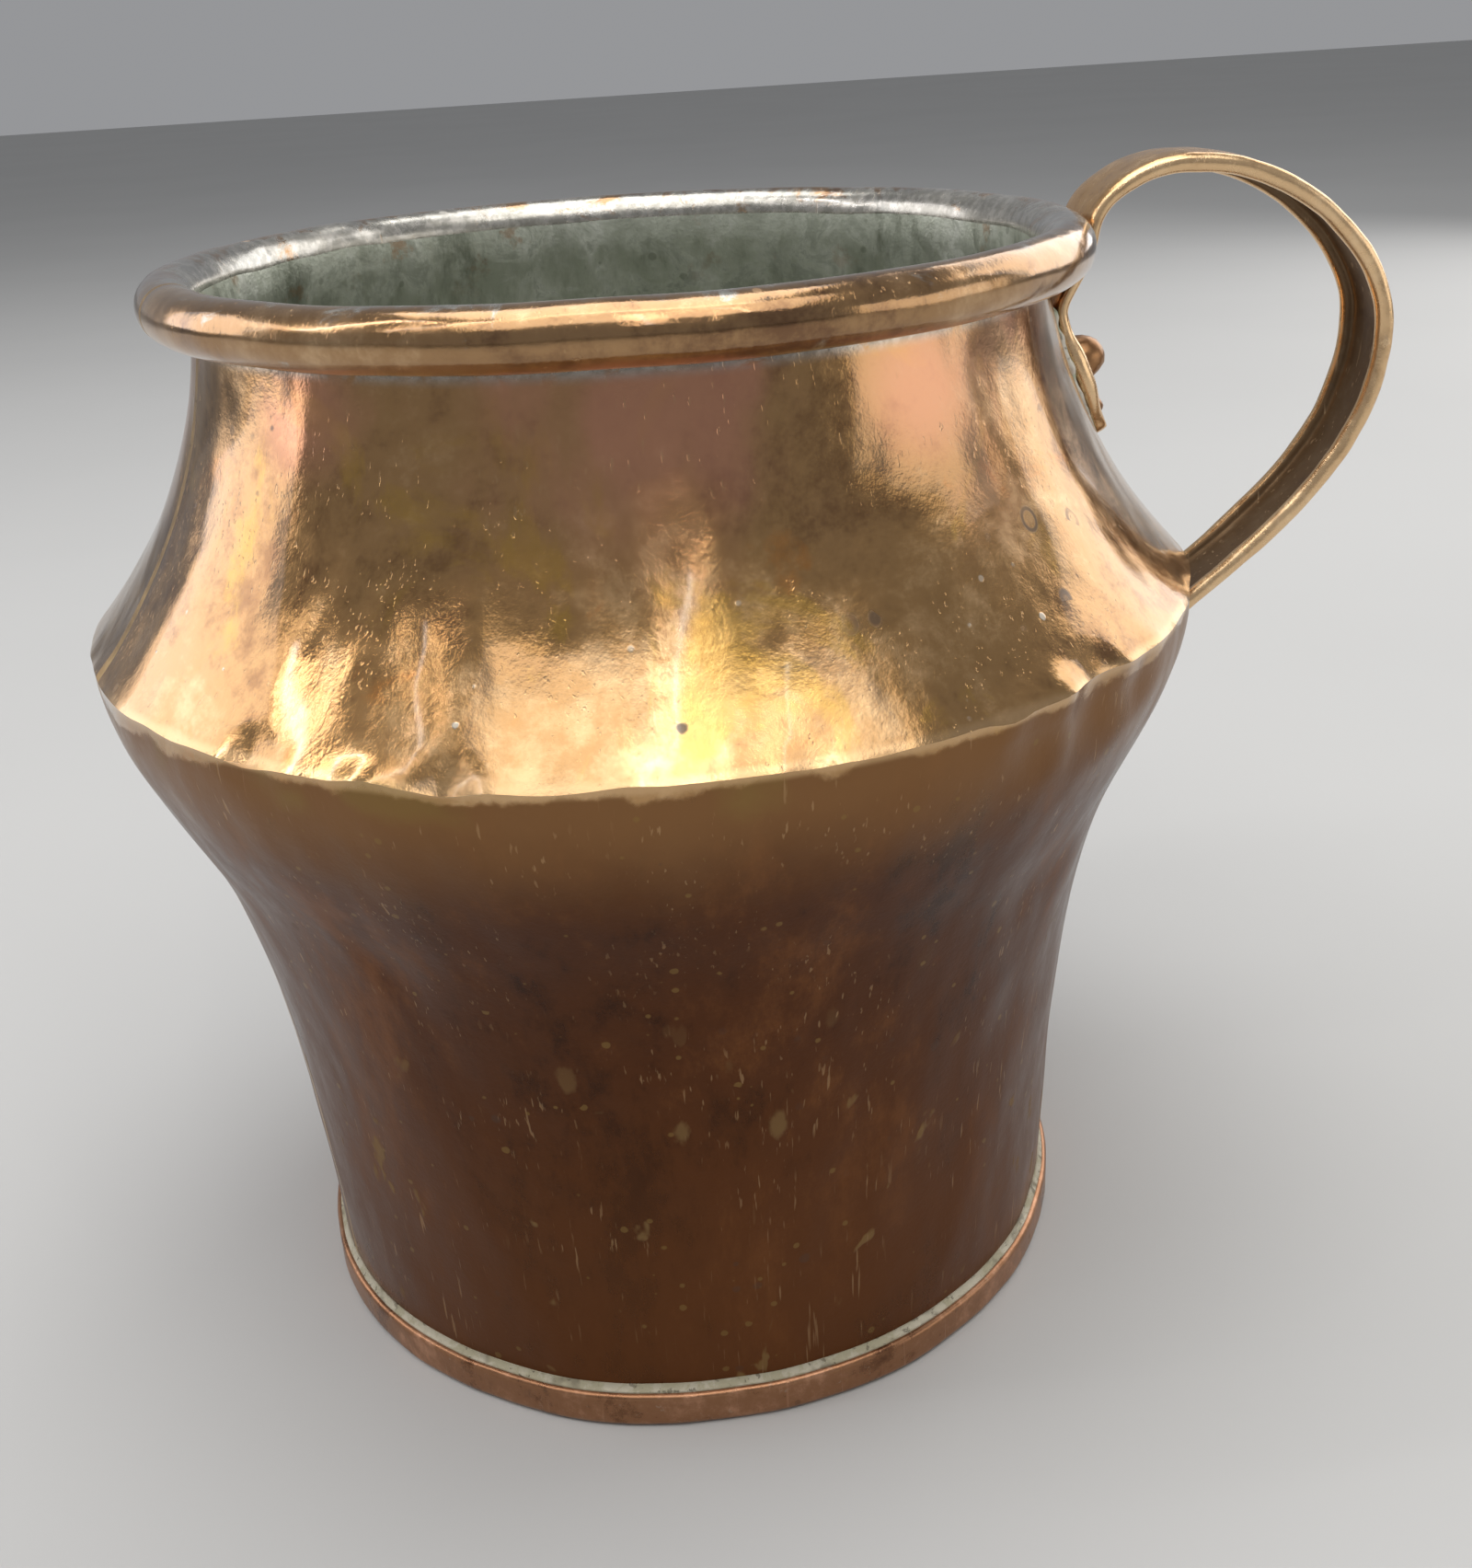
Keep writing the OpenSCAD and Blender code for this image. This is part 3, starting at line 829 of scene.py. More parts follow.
        line += [Station(p, self.half_width, self.depth, self.web) for p in bow]
        under = curve(at_under, Vector((-8.8, -7.5)) * MM, Vector((5, 11.7)) * MM, at_lower, 12)
        for i, p in enumerate(under):
            flat = i / 12
            line.append(Station(p, self.half_width, self.depth - 1.0 * MM * flat,
                                self.web + 1.35 * MM * flat, 0.5 * MM * flat))
        return line

    def lower_leaf_stations(self, top: float, seat: float) -> list[Station]:
        """The lower leaf, hammered flat.

        Args:
            top: Height where the strap grows into it.
            seat: How far its outer face lies off the wall.

        Returns:
            Its stations, the tip last.
        """
        line = []
        large = self.lower_tip + self.large_from_tip
        for share in [i / 11 for i in range(12)]:
            z = top + (self.lower_tip - top) * share
            near = math.exp(-((z - large) / self.broad) ** 4)
            below = min(max((large - 4 * MM - z) / (6 * MM), 0), 1)
            tongue = (4.4 + 3.2 * (z - self.lower_tip) / self.half_width) * MM
            wide = (9 + 1.0 * near) * MM * (1 - below) + below * tongue
            place = Vector((self.vessel.radius_at(z) + seat, z))
            line.append(Station(place, wide, self.lower_leaf, 2.95 * MM, 0.55 * MM))
        return line

    def leaf_edge(self, height: float) -> float:
        """How far a leaf's edge lies from the middle of the strap.

        Args:
            height: The height on the wall.

        Returns:
            The distance in metres.
        """
        tip = self.upper_tip if height > self.vessel.crease_height else self.lower_tip
        share = min(max((height - tip) / self.half_width, 0.0), 1.0)
        near = math.exp(-((height - tip - self.large_from_tip) / self.broad) ** 4)
        return (4.6 + 4.2 * share + 1.0 * near) * MM

    def build(self) -> bpy.types.Object:
        """Draws the strap out station by station.

        Returns:
            The finished strap.
        """
        line = self.stations()
        rings = []
        for i, station in enumerate(line):
            back, ahead = line[max(i - 1, 0)].place, line[min(i + 1, len(line) - 1)].place
            way = (ahead - back).normalized()
            inward = Vector((way.y, 0.0, -way.x))
            rings.append([Vector((station.place.x, u, station.place.y)) + inward * d
                          for _, u, d in self.section(station)])
        parts = [part for part, _, _ in self.section(line[0])]
        # The channel's points are marked for its painted shade, and the rounded edges and hems for their
        # painted highlight.
        strap = Bench.draw_out("strap_handle", rings, {
            "hollow": [1.0 if part in (Face.FLOOR, Face.WALL) else 0.0 for part in parts],
            "rubbed": [1.0 if part in (Face.EDGE, Face.HEM) else 0.0 for part in parts]})
        self.finish(strap)
        return strap

    def finish(self, strap: bpy.types.Object) -> None:
        """Rounds the strap and leaves it slightly uneven.

        Args:
            strap: The strap in object mode.
        """
        Bench.take(strap)
        bpy.ops.object.modifier_add(type="SUBSURF")
        strap.modifiers[-1].levels = strap.modifiers[-1].render_levels = 2
        bpy.ops.object.modifier_apply(modifier=strap.modifiers[-1].name)
        Bench.wobble(strap, "X", 0.5 * MM, 9 * MM, 0.21)
        Bench.wobble(strap, "Z", 0.5 * MM, 9 * MM, 0.44)
        Bench.wobble(strap, "Y", 0.7 * MM, 12 * MM, 0.91)
        Bench.smooth(strap, 60.0)


@dataclass(frozen=True)
class LeafSolder:
    """The solder under a leaf, with the crust that has run out beside it.

    Attributes:
        node: The node it stands for.
        low: Height where its crust starts.
        high: Height where its crust ends.
        seed: Where its unevenness starts.
        steps: How many lengths its crust is drawn out in.
        sides: How many points go round the crust.
    """

    node: str
    low: float
    high: float
    seed: int
    steps: int = 22
    sides: int = 9

    def build(self, vessel: Vessel, strap: Strap) -> bpy.types.Object:
        """Builds the solder.

        Args:
            vessel: The vessel it sits on.
            strap: The strap that it holds.

        Returns:
            The piece.
        """
        chance = random.Random(self.seed)
        Bench.take(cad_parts[self.node])
        bpy.ops.object.duplicate()
        under = bpy.context.object
        under.name = under.data.name = f"{self.node}_bed"
        bpy.ops.object.mode_set(mode="EDIT")
        bpy.ops.mesh.select_all(action="SELECT")
        bpy.ops.mesh.remove_doubles(threshold=0.005 * MM)
        Bench.outwards()
        bpy.ops.object.mode_set(mode="OBJECT")
        runs = [under]
        for side in (-1, 1):
            rings = []
            for i in range(self.steps + 1):
                share = i / self.steps
                z = self.low + (self.high - self.low) * share
                out = strap.leaf_edge(z) * side
                swell = 0.35 + 0.65 * math.sin(math.pi * min(max(share, 0.06), 0.94))
                size = chance.uniform(0.65, 1.5) * MM * swell
                around = math.sqrt(vessel.radius_at(z) ** 2 - out ** 2)
                centre = Vector((around + 0.35 * size, out + side * chance.uniform(0.1, 0.7) * MM, z))
                ring = []
                for a in [math.tau * k / self.sides for k in range(self.sides)]:
                    ring.append(centre + Vector((size * math.cos(a), size * 1.1 * math.sin(a) * side,
                                                 chance.uniform(-0.2, 0.2) * MM)))
                rings.append(ring)
            runs.append(Bench.draw_out(f"crust_{side}", rings))
        for run in runs[1:]:
            Bench.take(run)
            bpy.ops.object.modifier_add(type="SUBSURF")
            run.modifiers[-1].levels = run.modifiers[-1].render_levels = 2
            bpy.ops.object.modifier_apply(modifier=run.modifiers[-1].name)
            Bench.wobble(run, "X", 0.5 * MM, 2.2 * MM, 0.51)
            Bench.wobble(run, "Z", 0.5 * MM, 2.6 * MM, 0.77)
        Bench.take(*runs)
        bpy.context.view_layer.objects.active = under
        bpy.ops.object.join()
        Bench.smooth(under, 45.0)
        return under


@dataclass(frozen=True)
class Rivet:
    """One rivet through a leaf and the wall.

    Attributes:
        node: The node it stands for.
        height: Height on the wall.
        seat: How far its head's underside lies off the wall.
        head: Radius of its head.
        rise: Height of its head.
        shank: Radius of its shank.
    """

    node: str
    height: float
    seat: float
    head: float
    rise: float
    shank: float

    def build(self, vessel: Vessel) -> bpy.types.Object:
        """Turns the rivet, hammers it and sets it into the wall.

        Args:
            vessel: The vessel it is set in.

        Returns:
            The rivet.
        """
        grip = self.seat + vessel.wall + vessel.tin + 0.2 * MM
        head, rise, inner = self.head, self.rise, self.head * 0.8
        dome = [Vector((head * math.cos(a), rise * (0.18 + 0.82 * math.sin(a)))) for a in
                [math.radians(x) for x in (0, 14, 30, 48, 66, 82, 90)]]
        low = rise * 0.35
        foot = [Vector((inner * math.cos(a), -grip - low * math.sin(a))) for a in
                [math.radians(x) for x in (90, 70, 45, 20, 0)]]
        line = [Vector((0.0, foot[0].y)), *foot[1:], Vector((self.shank, -grip)), Vector((self.shank, 0.0)),
                Vector((head * 0.96, 0.0)), *dome[:-1], Vector((0.0, rise))]
        piece = Bench.turn(self.node, line, False, 40)
        Bench.take(piece)
        Bench.wobble(piece, "X", 0.16 * head, head * 0.9, 0.2 + self.height * 3)
        Bench.wobble(piece, "Z", 0.16 * head, head * 0.9, 0.7 + self.height * 3)
        slope = (vessel.radius_at(self.height + MM) - vessel.radius_at(self.height - MM)) / (2 * MM)
        tilt = math.atan2(1.0, -slope)
        Bench.take(piece)
        turn = Matrix.Rotation(tilt, 4, "Y")
        piece.matrix_world = Matrix.Translation((vessel.radius_at(self.height), 0, self.height)) @ turn \
            @ Matrix.Translation((0, 0, self.seat))
        bpy.ops.object.transform_apply(location=True, rotation=True, scale=True)
        Bench.smooth(piece, 55.0)
        return piece


# ----------------------------------------------------------------------------------------------------
# Finishes
# ----------------------------------------------------------------------------------------------------

class Board:
    """A node tree and the short calls that fill it."""

    def __init__(self, tree: bpy.types.NodeTree) -> None:
        """Keeps the tree.

        Args:
            tree: A material's or a group's node tree.
        """
        self.tree = tree

    def node(self, kind: str, **inputs: object) -> bpy.types.Node:
        """Adds a node and fills its inputs by name.

        Args:
            kind: The node's type.
            **inputs: Attributes in capitals-free names, or inputs whose names start with a capital.

        Returns:
            The node.
        """
        made = self.tree.nodes.new(kind)
        for name, value in inputs.items():
            if name[0].isupper():
                self.feed(made.inputs[name.replace("_", " ")], value)
            else:
                setattr(made, name, value)
        return made

    def feed(self, socket: bpy.types.NodeSocket, value: object) -> None:
        """Links a socket to another, or sets its value.

        Args:
            socket: The input.
            value: An output socket, a number, a colour or a vector.
        """
        if isinstance(value, bpy.types.NodeSocket):
            self.tree.links.new(value, socket)
        elif isinstance(value, (tuple, list)) and socket.type == "RGBA":
            socket.default_value = (*value[:3], 1.0)
        else:
            socket.default_value = value

    def maths(self, how: str, a: object, b: object = 0.0, c: object = 0.0) -> bpy.types.NodeSocket:
        """One sum on numbers.

        Args:
            how: The operation.
            a: First value or socket.
            b: Second value or socket.
            c: Third value or socket.

        Returns:
            The result.
        """
        made = self.node("ShaderNodeMath", operation=how)
        for socket, value in zip(made.inputs, (a, b, c)):
            self.feed(socket, value)
        return made.outputs[0]

    def times(self, a: object, b: object) -> bpy.types.NodeSocket:
        """One value times another."""
        return self.maths("MULTIPLY", a, b)

    def plus(self, a: object, b: object) -> bpy.types.NodeSocket:
        """Two values together."""
        return self.maths("ADD", a, b)

    def less(self, a: object, b: object) -> bpy.types.NodeSocket:
        """One value without another."""
        return self.maths("SUBTRACT", a, b)

    def most(self, a: object, b: object) -> bpy.types.NodeSocket:
        """The larger of two values."""
        return self.maths("MAXIMUM", a, b)

    def span(self, value: object, low: float, high: float, to_low: float = 0.0,
             to_high: float = 1.0) -> bpy.types.NodeSocket:
        """A value moved smoothly from one range into another and held at its ends.

        Args:
            value: The value.
            low: Start of its range.
            high: End of its range.
            to_low: What the start becomes.
            to_high: What the end becomes.

        Returns:
            The result.
        """
        made = self.node("ShaderNodeMapRange", interpolation_type="SMOOTHSTEP", clamp=True)
        for name, number in (("Value", value), ("From Min", low), ("From Max", high),
                             ("To Min", to_low), ("To Max", to_high)):
            self.feed(made.inputs[name], number)
        return made.outputs["Result"]

    def blend(self, share: object, under: object, over: object) -> bpy.types.NodeSocket:
        """Two colours mixed.

        Args:
            share: How much of the upper one shows.
            under: The lower colour.
            over: The upper colour.

        Returns:
            The mixed colour.
        """
        made = self.node("ShaderNodeMix", data_type="RGBA", blend_type="MIX")
        self.feed(made.inputs[0], share)
        self.feed(made.inputs[6], under)
        self.feed(made.inputs[7], over)
        return made.outputs[2]

    def place(self) -> bpy.types.NodeSocket:
        """Object coordinates in metres."""
        return self.node("ShaderNodeTexCoord").outputs["Object"]

    def scaled(self, place: object, scale: tuple[float, float, float],
               shift: tuple[float, float, float] = (0.0, 0.0, 0.0)) -> bpy.types.NodeSocket:
        """Coordinates stretched and moved.

        Args:
            place: The coordinates.
            scale: The scale on each axis.
            shift: The move on each axis.

        Returns:
            The new coordinates.
        """
        made = self.node("ShaderNodeMapping", Vector=place)
        made.inputs["Location"].default_value = shift
        made.inputs["Scale"].default_value = scale
        return made.outputs[0]

    def noise(self, place: object, scale: float, detail: float = 4.0, rough: float = 0.55,
              warp: float = 0.0) -> bpy.types.NodeSocket:
        """Soft noise between nought and one.

        Args:
            place: The coordinates.
            scale: Patches to the metre.
            detail: Octaves.
            rough: How strong the fine octaves are.
            warp: How far the noise is warped by itself.

        Returns:
            The noise.
        """
        made = self.node("ShaderNodeTexNoise", Vector=place, Scale=scale, Detail=detail, Roughness=rough,
                         Distortion=warp)
        return made.outputs["Fac"]

    def cells(self, place: object, scale: float, feature: str = "F1") -> bpy.types.Node:
        """Voronoi cells.

        Args:
            place: The coordinates.
            scale: Cells to the metre.
            feature: Which distance is given.

        Returns:
            The node.
        """
        return self.node("ShaderNodeTexVoronoi", feature=feature, Vector=place, Scale=scale)

    def parts(self, place: object) -> tuple[bpy.types.NodeSocket, bpy.types.NodeSocket]:
        """Distance from the axis, and height.

        Args:
            place: The coordinates.

        Returns:
            The two distances in metres.
        """
        split = self.node("ShaderNodeSeparateXYZ", Vector=place)
        x, y, z = split.outputs
        radius = self.maths("SQRT", self.plus(self.times(x, x), self.times(y, y)))
        return radius, z


class Effect:
    """Shader groups that several finishes share, each built once."""

    made: dict[str, bpy.types.NodeTree] = {}

    @classmethod
    def group(cls, name: str, inputs: Sequence[tuple[str, str, object]], outputs: Sequence[tuple[str, str]],
              fill: Callable[[Board, bpy.types.Node, bpy.types.Node], None]) -> bpy.types.NodeTree:
        """A named group, built the first time it is asked for.

        Args:
            name: The group's name.
            inputs: Name, socket type and first value of each input.
            outputs: Name and socket type of each output.
            fill: Fills the group between its input and output nodes.

        Returns:
            The group's tree.
        """
        if name not in cls.made:
            tree = bpy.data.node_groups.new(name, "ShaderNodeTree")
            for label, kind, first in inputs:
                socket = tree.interface.new_socket(name=label, in_out="INPUT", socket_type=kind)
                if first is not None:
                    socket.default_value = first
            for label, kind in outputs:
                tree.interface.new_socket(name=label, in_out="OUTPUT", socket_type=kind)
            board = Board(tree)
            fill(board, board.node("NodeGroupInput"), board.node("NodeGroupOutput"))
            cls.made[name] = tree
        return cls.made[name]

    @classmethod
    def use(cls, board: Board, tree: bpy.types.NodeTree, **inputs: object) -> bpy.types.Node:
        """Places a group in a material with its own values.

        Args:
            board: The material's board.
            tree: The group.
            **inputs: Its inputs by name.

        Returns:
            The group node.
        """
        made = board.tree.nodes.new("ShaderNodeGroup")
        made.node_tree = tree
        for name, value in inputs.items():
            board.feed(made.inputs[name.replace("_", " ")], value)
        return made

    @classmethod
    def mottle(cls) -> bpy.types.NodeTree:
        """Cloudy patina in three tones."""
        def fill(b: Board, given: bpy.types.Node, out: bpy.types.Node) -> None:
            place, dark, mid, light = given.outputs[:4]
            broad = b.noise(place, 26.0, 8.0, 0.66, 0.5)
            fine = b.noise(place, 170.0, 5.0, 0.72)
            both = b.plus(b.times(broad, 0.64), b.times(fine, 0.36))
            tone = b.blend(b.span(both, 0.36, 0.5), dark, mid)
            tone = b.blend(b.span(both, 0.5, 0.66), tone, light)
            b.feed(out.inputs[0], tone)
            b.feed(out.inputs[1], both)
        return cls.group("mottle", [("Place", "NodeSocketVector", None),
                                    ("Dark", "NodeSocketColor", (0.1, 0.05, 0.02, 1)),
                                    ("Mid", "NodeSocketColor", (0.3, 0.2, 0.1, 1)),
                                    ("Light", "NodeSocketColor", (0.5, 0.3, 0.1, 1))],
                         [("Tone", "NodeSocketColor"), ("Cloud", "NodeSocketFloat")], fill)

    @classmethod
    def specks(cls) -> bpy.types.NodeTree:
        """Small round spots of uneven size in some of the cells of a pattern."""
        def fill(b: Board, given: bpy.types.Node, out: bpy.types.Node) -> None:
            place, scale, share, size = given.outputs[:4]
            cells = b.cells(place, 1.0)
            b.feed(cells.inputs["Scale"], scale)
            split = b.node("ShaderNodeSeparateColor", Color=cells.outputs["Color"])
            chosen = b.maths("LESS_THAN", split.outputs[0], share)
            reach = b.times(size, b.plus(0.35, split.outputs[1]))
            ragged = b.times(b.noise(place, 700.0, 2.0), 0.16)
            near = b.less(reach, b.plus(cells.outputs["Distance"], ragged))
            b.feed(out.inputs[0], b.times(chosen, b.span(near, -0.06, 0.04)))
        return cls.group("specks", [("Place", "NodeSocketVector", None), ("Scale", "NodeSocketFloat", 300.0),
                                    ("Share", "NodeSocketFloat", 0.3), ("Size", "NodeSocketFloat", 0.25)],
                         [("Mask", "NodeSocketFloat")], fill)

    @classmethod
    def planish(cls) -> bpy.types.NodeTree:
        """Height of the hammer's marks, long swells and fine grain, in metres."""
        def fill(b: Board, given: bpy.types.Node, out: bpy.types.Node) -> None:
            place, marks, swells, grain = given.outputs[:4]
            long_way = b.scaled(place, (1.0, 1.0, 0.38))
            swell = b.noise(long_way, 52.0, 2.0, 0.45)
            cells = b.cells(b.scaled(place, (1.0, 1.0, 0.7)), 105.0, "SMOOTH_F1")
            cells.inputs["Smoothness"].default_value = 0.55
            fine = b.noise(place, 1500.0, 3.0, 0.6)
            pits = b.noise(place, 330.0, 3.0, 0.6)
            total = b.times(swell, swells)
            total = b.maths("MULTIPLY_ADD", cells.outputs["Distance"], marks, total)
            total = b.maths("MULTIPLY_ADD", fine, grain, total)
            total = b.maths("MULTIPLY_ADD", pits, b.times(grain, 2.5), total)
            b.feed(out.inputs[0], total)
        return cls.group("planish", [("Place", "NodeSocketVector", None), ("Marks", "NodeSocketFloat", 0.1),
                                     ("Swells", "NodeSocketFloat", 0.5), ("Grain", "NodeSocketFloat", 0.02)],
                         [("Height", "NodeSocketFloat")], fill)

    @classmethod
    def scratches(cls) -> bpy.types.NodeTree:
        """Fine straight scratches at two slants."""
        def fill(b: Board, given: bpy.types.Node, out: bpy.types.Node) -> None:
            place, amount = given.outputs[:2]
            lines = []
            for turn, size in ((0.5, 1.0), (-0.9, 1.4), (1.35, 0.8)):
                made = b.node("ShaderNodeMapping", Vector=place)
                made.inputs["Rotation"].default_value = (turn, turn * 0.6, turn * 0.3)
                made.inputs["Scale"].default_value = (1.0, 1.0, 0.035)
                thin = b.noise(made.outputs[0], 1100.0 * size, 2.0, 0.5)
                where = b.noise(place, 45.0 * size, 2.0, 0.5)
                lines.append(b.times(b.span(thin, 0.66, 0.72), b.span(where, 0.5, 0.64)))
            every = b.most(b.most(lines[0], lines[1]), lines[2])
            b.feed(out.inputs[0], b.times(every, amount))
        return cls.group("scratches", [("Place", "NodeSocketVector", None),
                                       ("Amount", "NodeSocketFloat", 1.0)],
                         [("Mask", "NodeSocketFloat")], fill)


@dataclass(frozen=True)
class Finish:
    """What every finish shares.

    Attributes:
        name: The material's name.
    """

    name: str

    def start(self) -> tuple[Board, bpy.types.Node, bpy.types.NodeSocket]:
        """Makes the material with its shader.

        Returns:
            The board, the shader and the object coordinates.
        """
        material = bpy.data.materials.new(self.name)
        material.use_nodes = True
        board = Board(material.node_tree)
        shader = next(n for n in material.node_tree.nodes if n.type == "BSDF_PRINCIPLED")
        return board, shader, board.place()

    def bump(self, board: Board, shader: bpy.types.Node, height: object, depth: float) -> None:
        """Feeds a height into the shader's normal.

        Args:
            board: The board.
            shader: The shader.
            height: The height.
            depth: Metres of depth for a height of one.
        """
        made = board.node("ShaderNodeBump", Height=height, Distance=depth, Strength=1.0)
        board.feed(shader.inputs["Normal"], made.outputs[0])

    def wear(self, *pieces: bpy.types.Object) -> None:
        """Puts the finish on pieces as their only material.

        Args:
            *pieces: The pieces.
        """
        material = self.build()
        for piece in pieces:
            piece.data.materials.clear()
            piece.data.materials.append(material)

    def build(self) -> bpy.types.Material:
        """Makes the material; each finish has its own."""
        raise NotImplementedError


@dataclass(frozen=True)
class WallCopper(Finish):
    """Raised copper: golden brown above the crease, below it dark brown that is partly patina and partly a
    painted reflection of dark surroundings, with a painted highlight on the crease; tinned inside the rim.

    Attributes:
        rim: Height of the rim's bead.
        crease: Height of the crease.
        mouth: Radius inside which the rim's tin shows.
        upper: Dark, middle and light tone above the crease.
        lower: The same three below the crease, dark partly for the patina and partly as a painted reflection
            of dark surroundings.
        bead: The same three on the rim's bead.
        ochre: Tone of the patches above the crease.
        pink: Tone of the blush under the rim.
        orange: Tone of the rusty patches.
        olive: Tone of the stains below the crease.
        verdigris: Tone of the green under the crease.
        ink: Tone of the black specks and rings.
        tin: Tone of the clean tin on the rim.
        dull_tin: Tone of the dull tin on the rim.
        chalk: Tone of the pale dust.
    """

    rim: float
    crease: float
    mouth: float
    upper: tuple[Colour, Colour, Colour] = ((0.26, 0.13, 0.05), (0.44, 0.25, 0.1), (0.62, 0.4, 0.2))
    lower: tuple[Colour, Colour, Colour] = ((0.04, 0.012, 0.003), (0.09, 0.028, 0.007), (0.17, 0.06, 0.016))
    bead: tuple[Colour, Colour, Colour] = ((0.2, 0.1, 0.045), (0.38, 0.22, 0.1), (0.56, 0.37, 0.2))
    ochre: Colour = (0.52, 0.31, 0.06)
    pink: Colour = (0.66, 0.3, 0.19)
    orange: Colour = (0.5, 0.22, 0.06)
    olive: Colour = (0.25, 0.15, 0.045)
    verdigris: Colour = (0.26, 0.19, 0.05)
    ink: Colour = (0.045, 0.028, 0.018)
    tin: Colour = (0.56, 0.56, 0.52)
    dull_tin: Colour = (0.36, 0.37, 0.34)
    chalk: Colour = (0.7, 0.68, 0.58)

    def spot(self, b: Board, place: object, azimuth: float, height: float, radius: float,
             reach: Point) -> bpy.types.NodeSocket:
        """A soft round mask at one place on the wall.

        Args:
            b: The board.
            place: The coordinates.
            azimuth: Direction from the axis in degrees, from the handle.
            height: Height in millimetres.
            radius: The wall's radius there in millimetres.
            reach: Inner and outer distance of the mask's edge in millimetres.

        Returns:
            The mask.
        """
        way = math.radians(azimuth)
        centre = (radius * math.cos(way) * MM, radius * math.sin(way) * MM, height * MM)
        gap = b.node("ShaderNodeVectorMath", operation="DISTANCE")
        b.feed(gap.inputs[0], place)
        gap.inputs[1].default_value = centre
        return b.span(gap.outputs["Value"], reach[0] * MM, reach[1] * MM, 1.0, 0.0)

    def cone(self, b: Board, place: object, level: object) -> tuple[bpy.types.NodeSocket, ...]:
        """The golden copper above the crease, with ochre, orange and pink in it.

        Args:
            b: The board.
            place: The coordinates.
            level: The height with a ragged edge.

        Returns:
            Its tone and its cloudiness.
        """
        dark, mid, light = self.upper
        cone = Effect.use(b, Effect.mottle(), Place=place, Dark=dark, Mid=mid, Light=light)
        tone = cone.outputs["Tone"]
        patches = b.noise(b.scaled(place, (1, 1, 0.8), (0.3, 0.1, 0.2)), 42.0, 6.0, 0.6, 0.8)
        tone = b.blend(b.times(b.span(patches, 0.55, 0.66), 0.6), tone, self.ochre)
        rust = b.noise(b.scaled(place, (1, 1, 0.8), (0.9, 0.4, 0.6)), 55.0, 6.0, 0.62, 0.6)
        tone = b.blend(b.times(b.span(rust, 0.6, 0.7), 0.65), tone, self.orange)
        blush = b.noise(b.scaled(place, (1, 1, 0.5), (0.5, 0.8, 0.1)), 24.0, 4.0, 0.55)
        near_rim = b.span(level, self.rim - 46 * MM, self.rim - 12 * MM)
        tone = b.blend(b.times(near_rim, b.span(blush, 0.45, 0.62, 0.0, 0.7)), tone, self.pink)
        red = b.most(self.spot(b, place, -60, 191, 81.5, (3, 17)),
                     self.spot(b, place, -133, 193, 80.5, (3, 15)))
        return b.blend(b.times(red, 0.55), tone, self.pink), cone.outputs["Cloud"]

    def foot(self, b: Board, place: object, level: object) -> tuple[bpy.types.NodeSocket, ...]:
        """The copper below the crease: dark, partly patina and partly a painted reflection of dark
        surroundings, lighter towards the bottom, with a painted reflection band just under the crease and
        olive stains.

        Args:
            b: The board.
            place: The coordinates.
            level: The height with a ragged edge.

        Returns:
            Its tone, its cloudiness and the mask of the stains.
        """
        # The dark tones below the crease are partly patina and partly a painted reflection of dark
        # surroundings; the tone is made lighter towards the bottom.
        dark, mid, light = self.lower
        base = Effect.use(b, Effect.mottle(), Place=b.scaled(place, (1, 1, 0.45)), Dark=dark, Mid=mid,
                          Light=light)
        deep = b.blend(b.span(level, 95 * MM, 10 * MM, 0.0, 0.6), base.outputs["Tone"], light)
        # Painted reflection: a lighter, warmer band just under the crease.
        painted_reflection_band = b.span(level, self.crease - 30 * MM, self.crease - 3 * MM)
        deep = b.blend(b.times(painted_reflection_band, 0.8), deep, self.upper[0])
        stain = b.noise(b.scaled(place, (1, 1, 0.6), (0.2, 0.6, 0.3)), 120.0, 3.0, 0.5, 0.3)
        low = b.span(level, 105 * MM, 55 * MM)
        drops = Effect.use(b, Effect.specks(), Place=b.scaled(place, (1, 1, 0.5)), Scale=110.0, Share=0.3,
                           Size=0.2)
        stains = b.most(b.times(b.span(stain, 0.67, 0.71), low), b.times(drops.outputs[0], low))
        deep = b.blend(b.times(stains, 0.6), deep, self.olive)
        flecks = Effect.use(b, Effect.specks(), Place=place, Scale=420.0, Share=0.1, Size=0.3)
        deep = b.blend(b.times(flecks.outputs[0], 0.55), deep, self.olive)
        return deep, base.outputs["Cloud"], stains

    def ridge(self, b: Board, place: object, height: object, level: object,
              tone: object) -> bpy.types.NodeSocket:
        """Puts a painted highlight along the ridge of the crease, and the verdigris under it, over a tone.

        Args:
            b: The board.
            place: The coordinates.
            height: The height.
            level: The height with a ragged edge.
            tone: The tone so far.

        Returns:
            The new tone.
        """
        # Painted highlight: a light band along the crease's ridge, in the light tone from above the crease.
        ridge = b.times(b.span(height, self.crease - 1.6 * MM, self.crease - 0.3 * MM),
                        b.span(height, self.crease + 1.6 * MM, self.crease + 0.4 * MM))
        tone = b.blend(b.times(ridge, 0.7), tone, self.upper[2])
        verdant = b.times(b.span(b.noise(place, 38.0, 3.0, 0.5), 0.56, 0.66),
                          b.times(b.span(level, self.crease - 9 * MM, self.crease - 3 * MM),
                                  b.span(level, self.crease + 1 * MM, self.crease - 1 * MM)))
        return b.blend(b.times(verdant, 0.32), tone, self.verdigris)

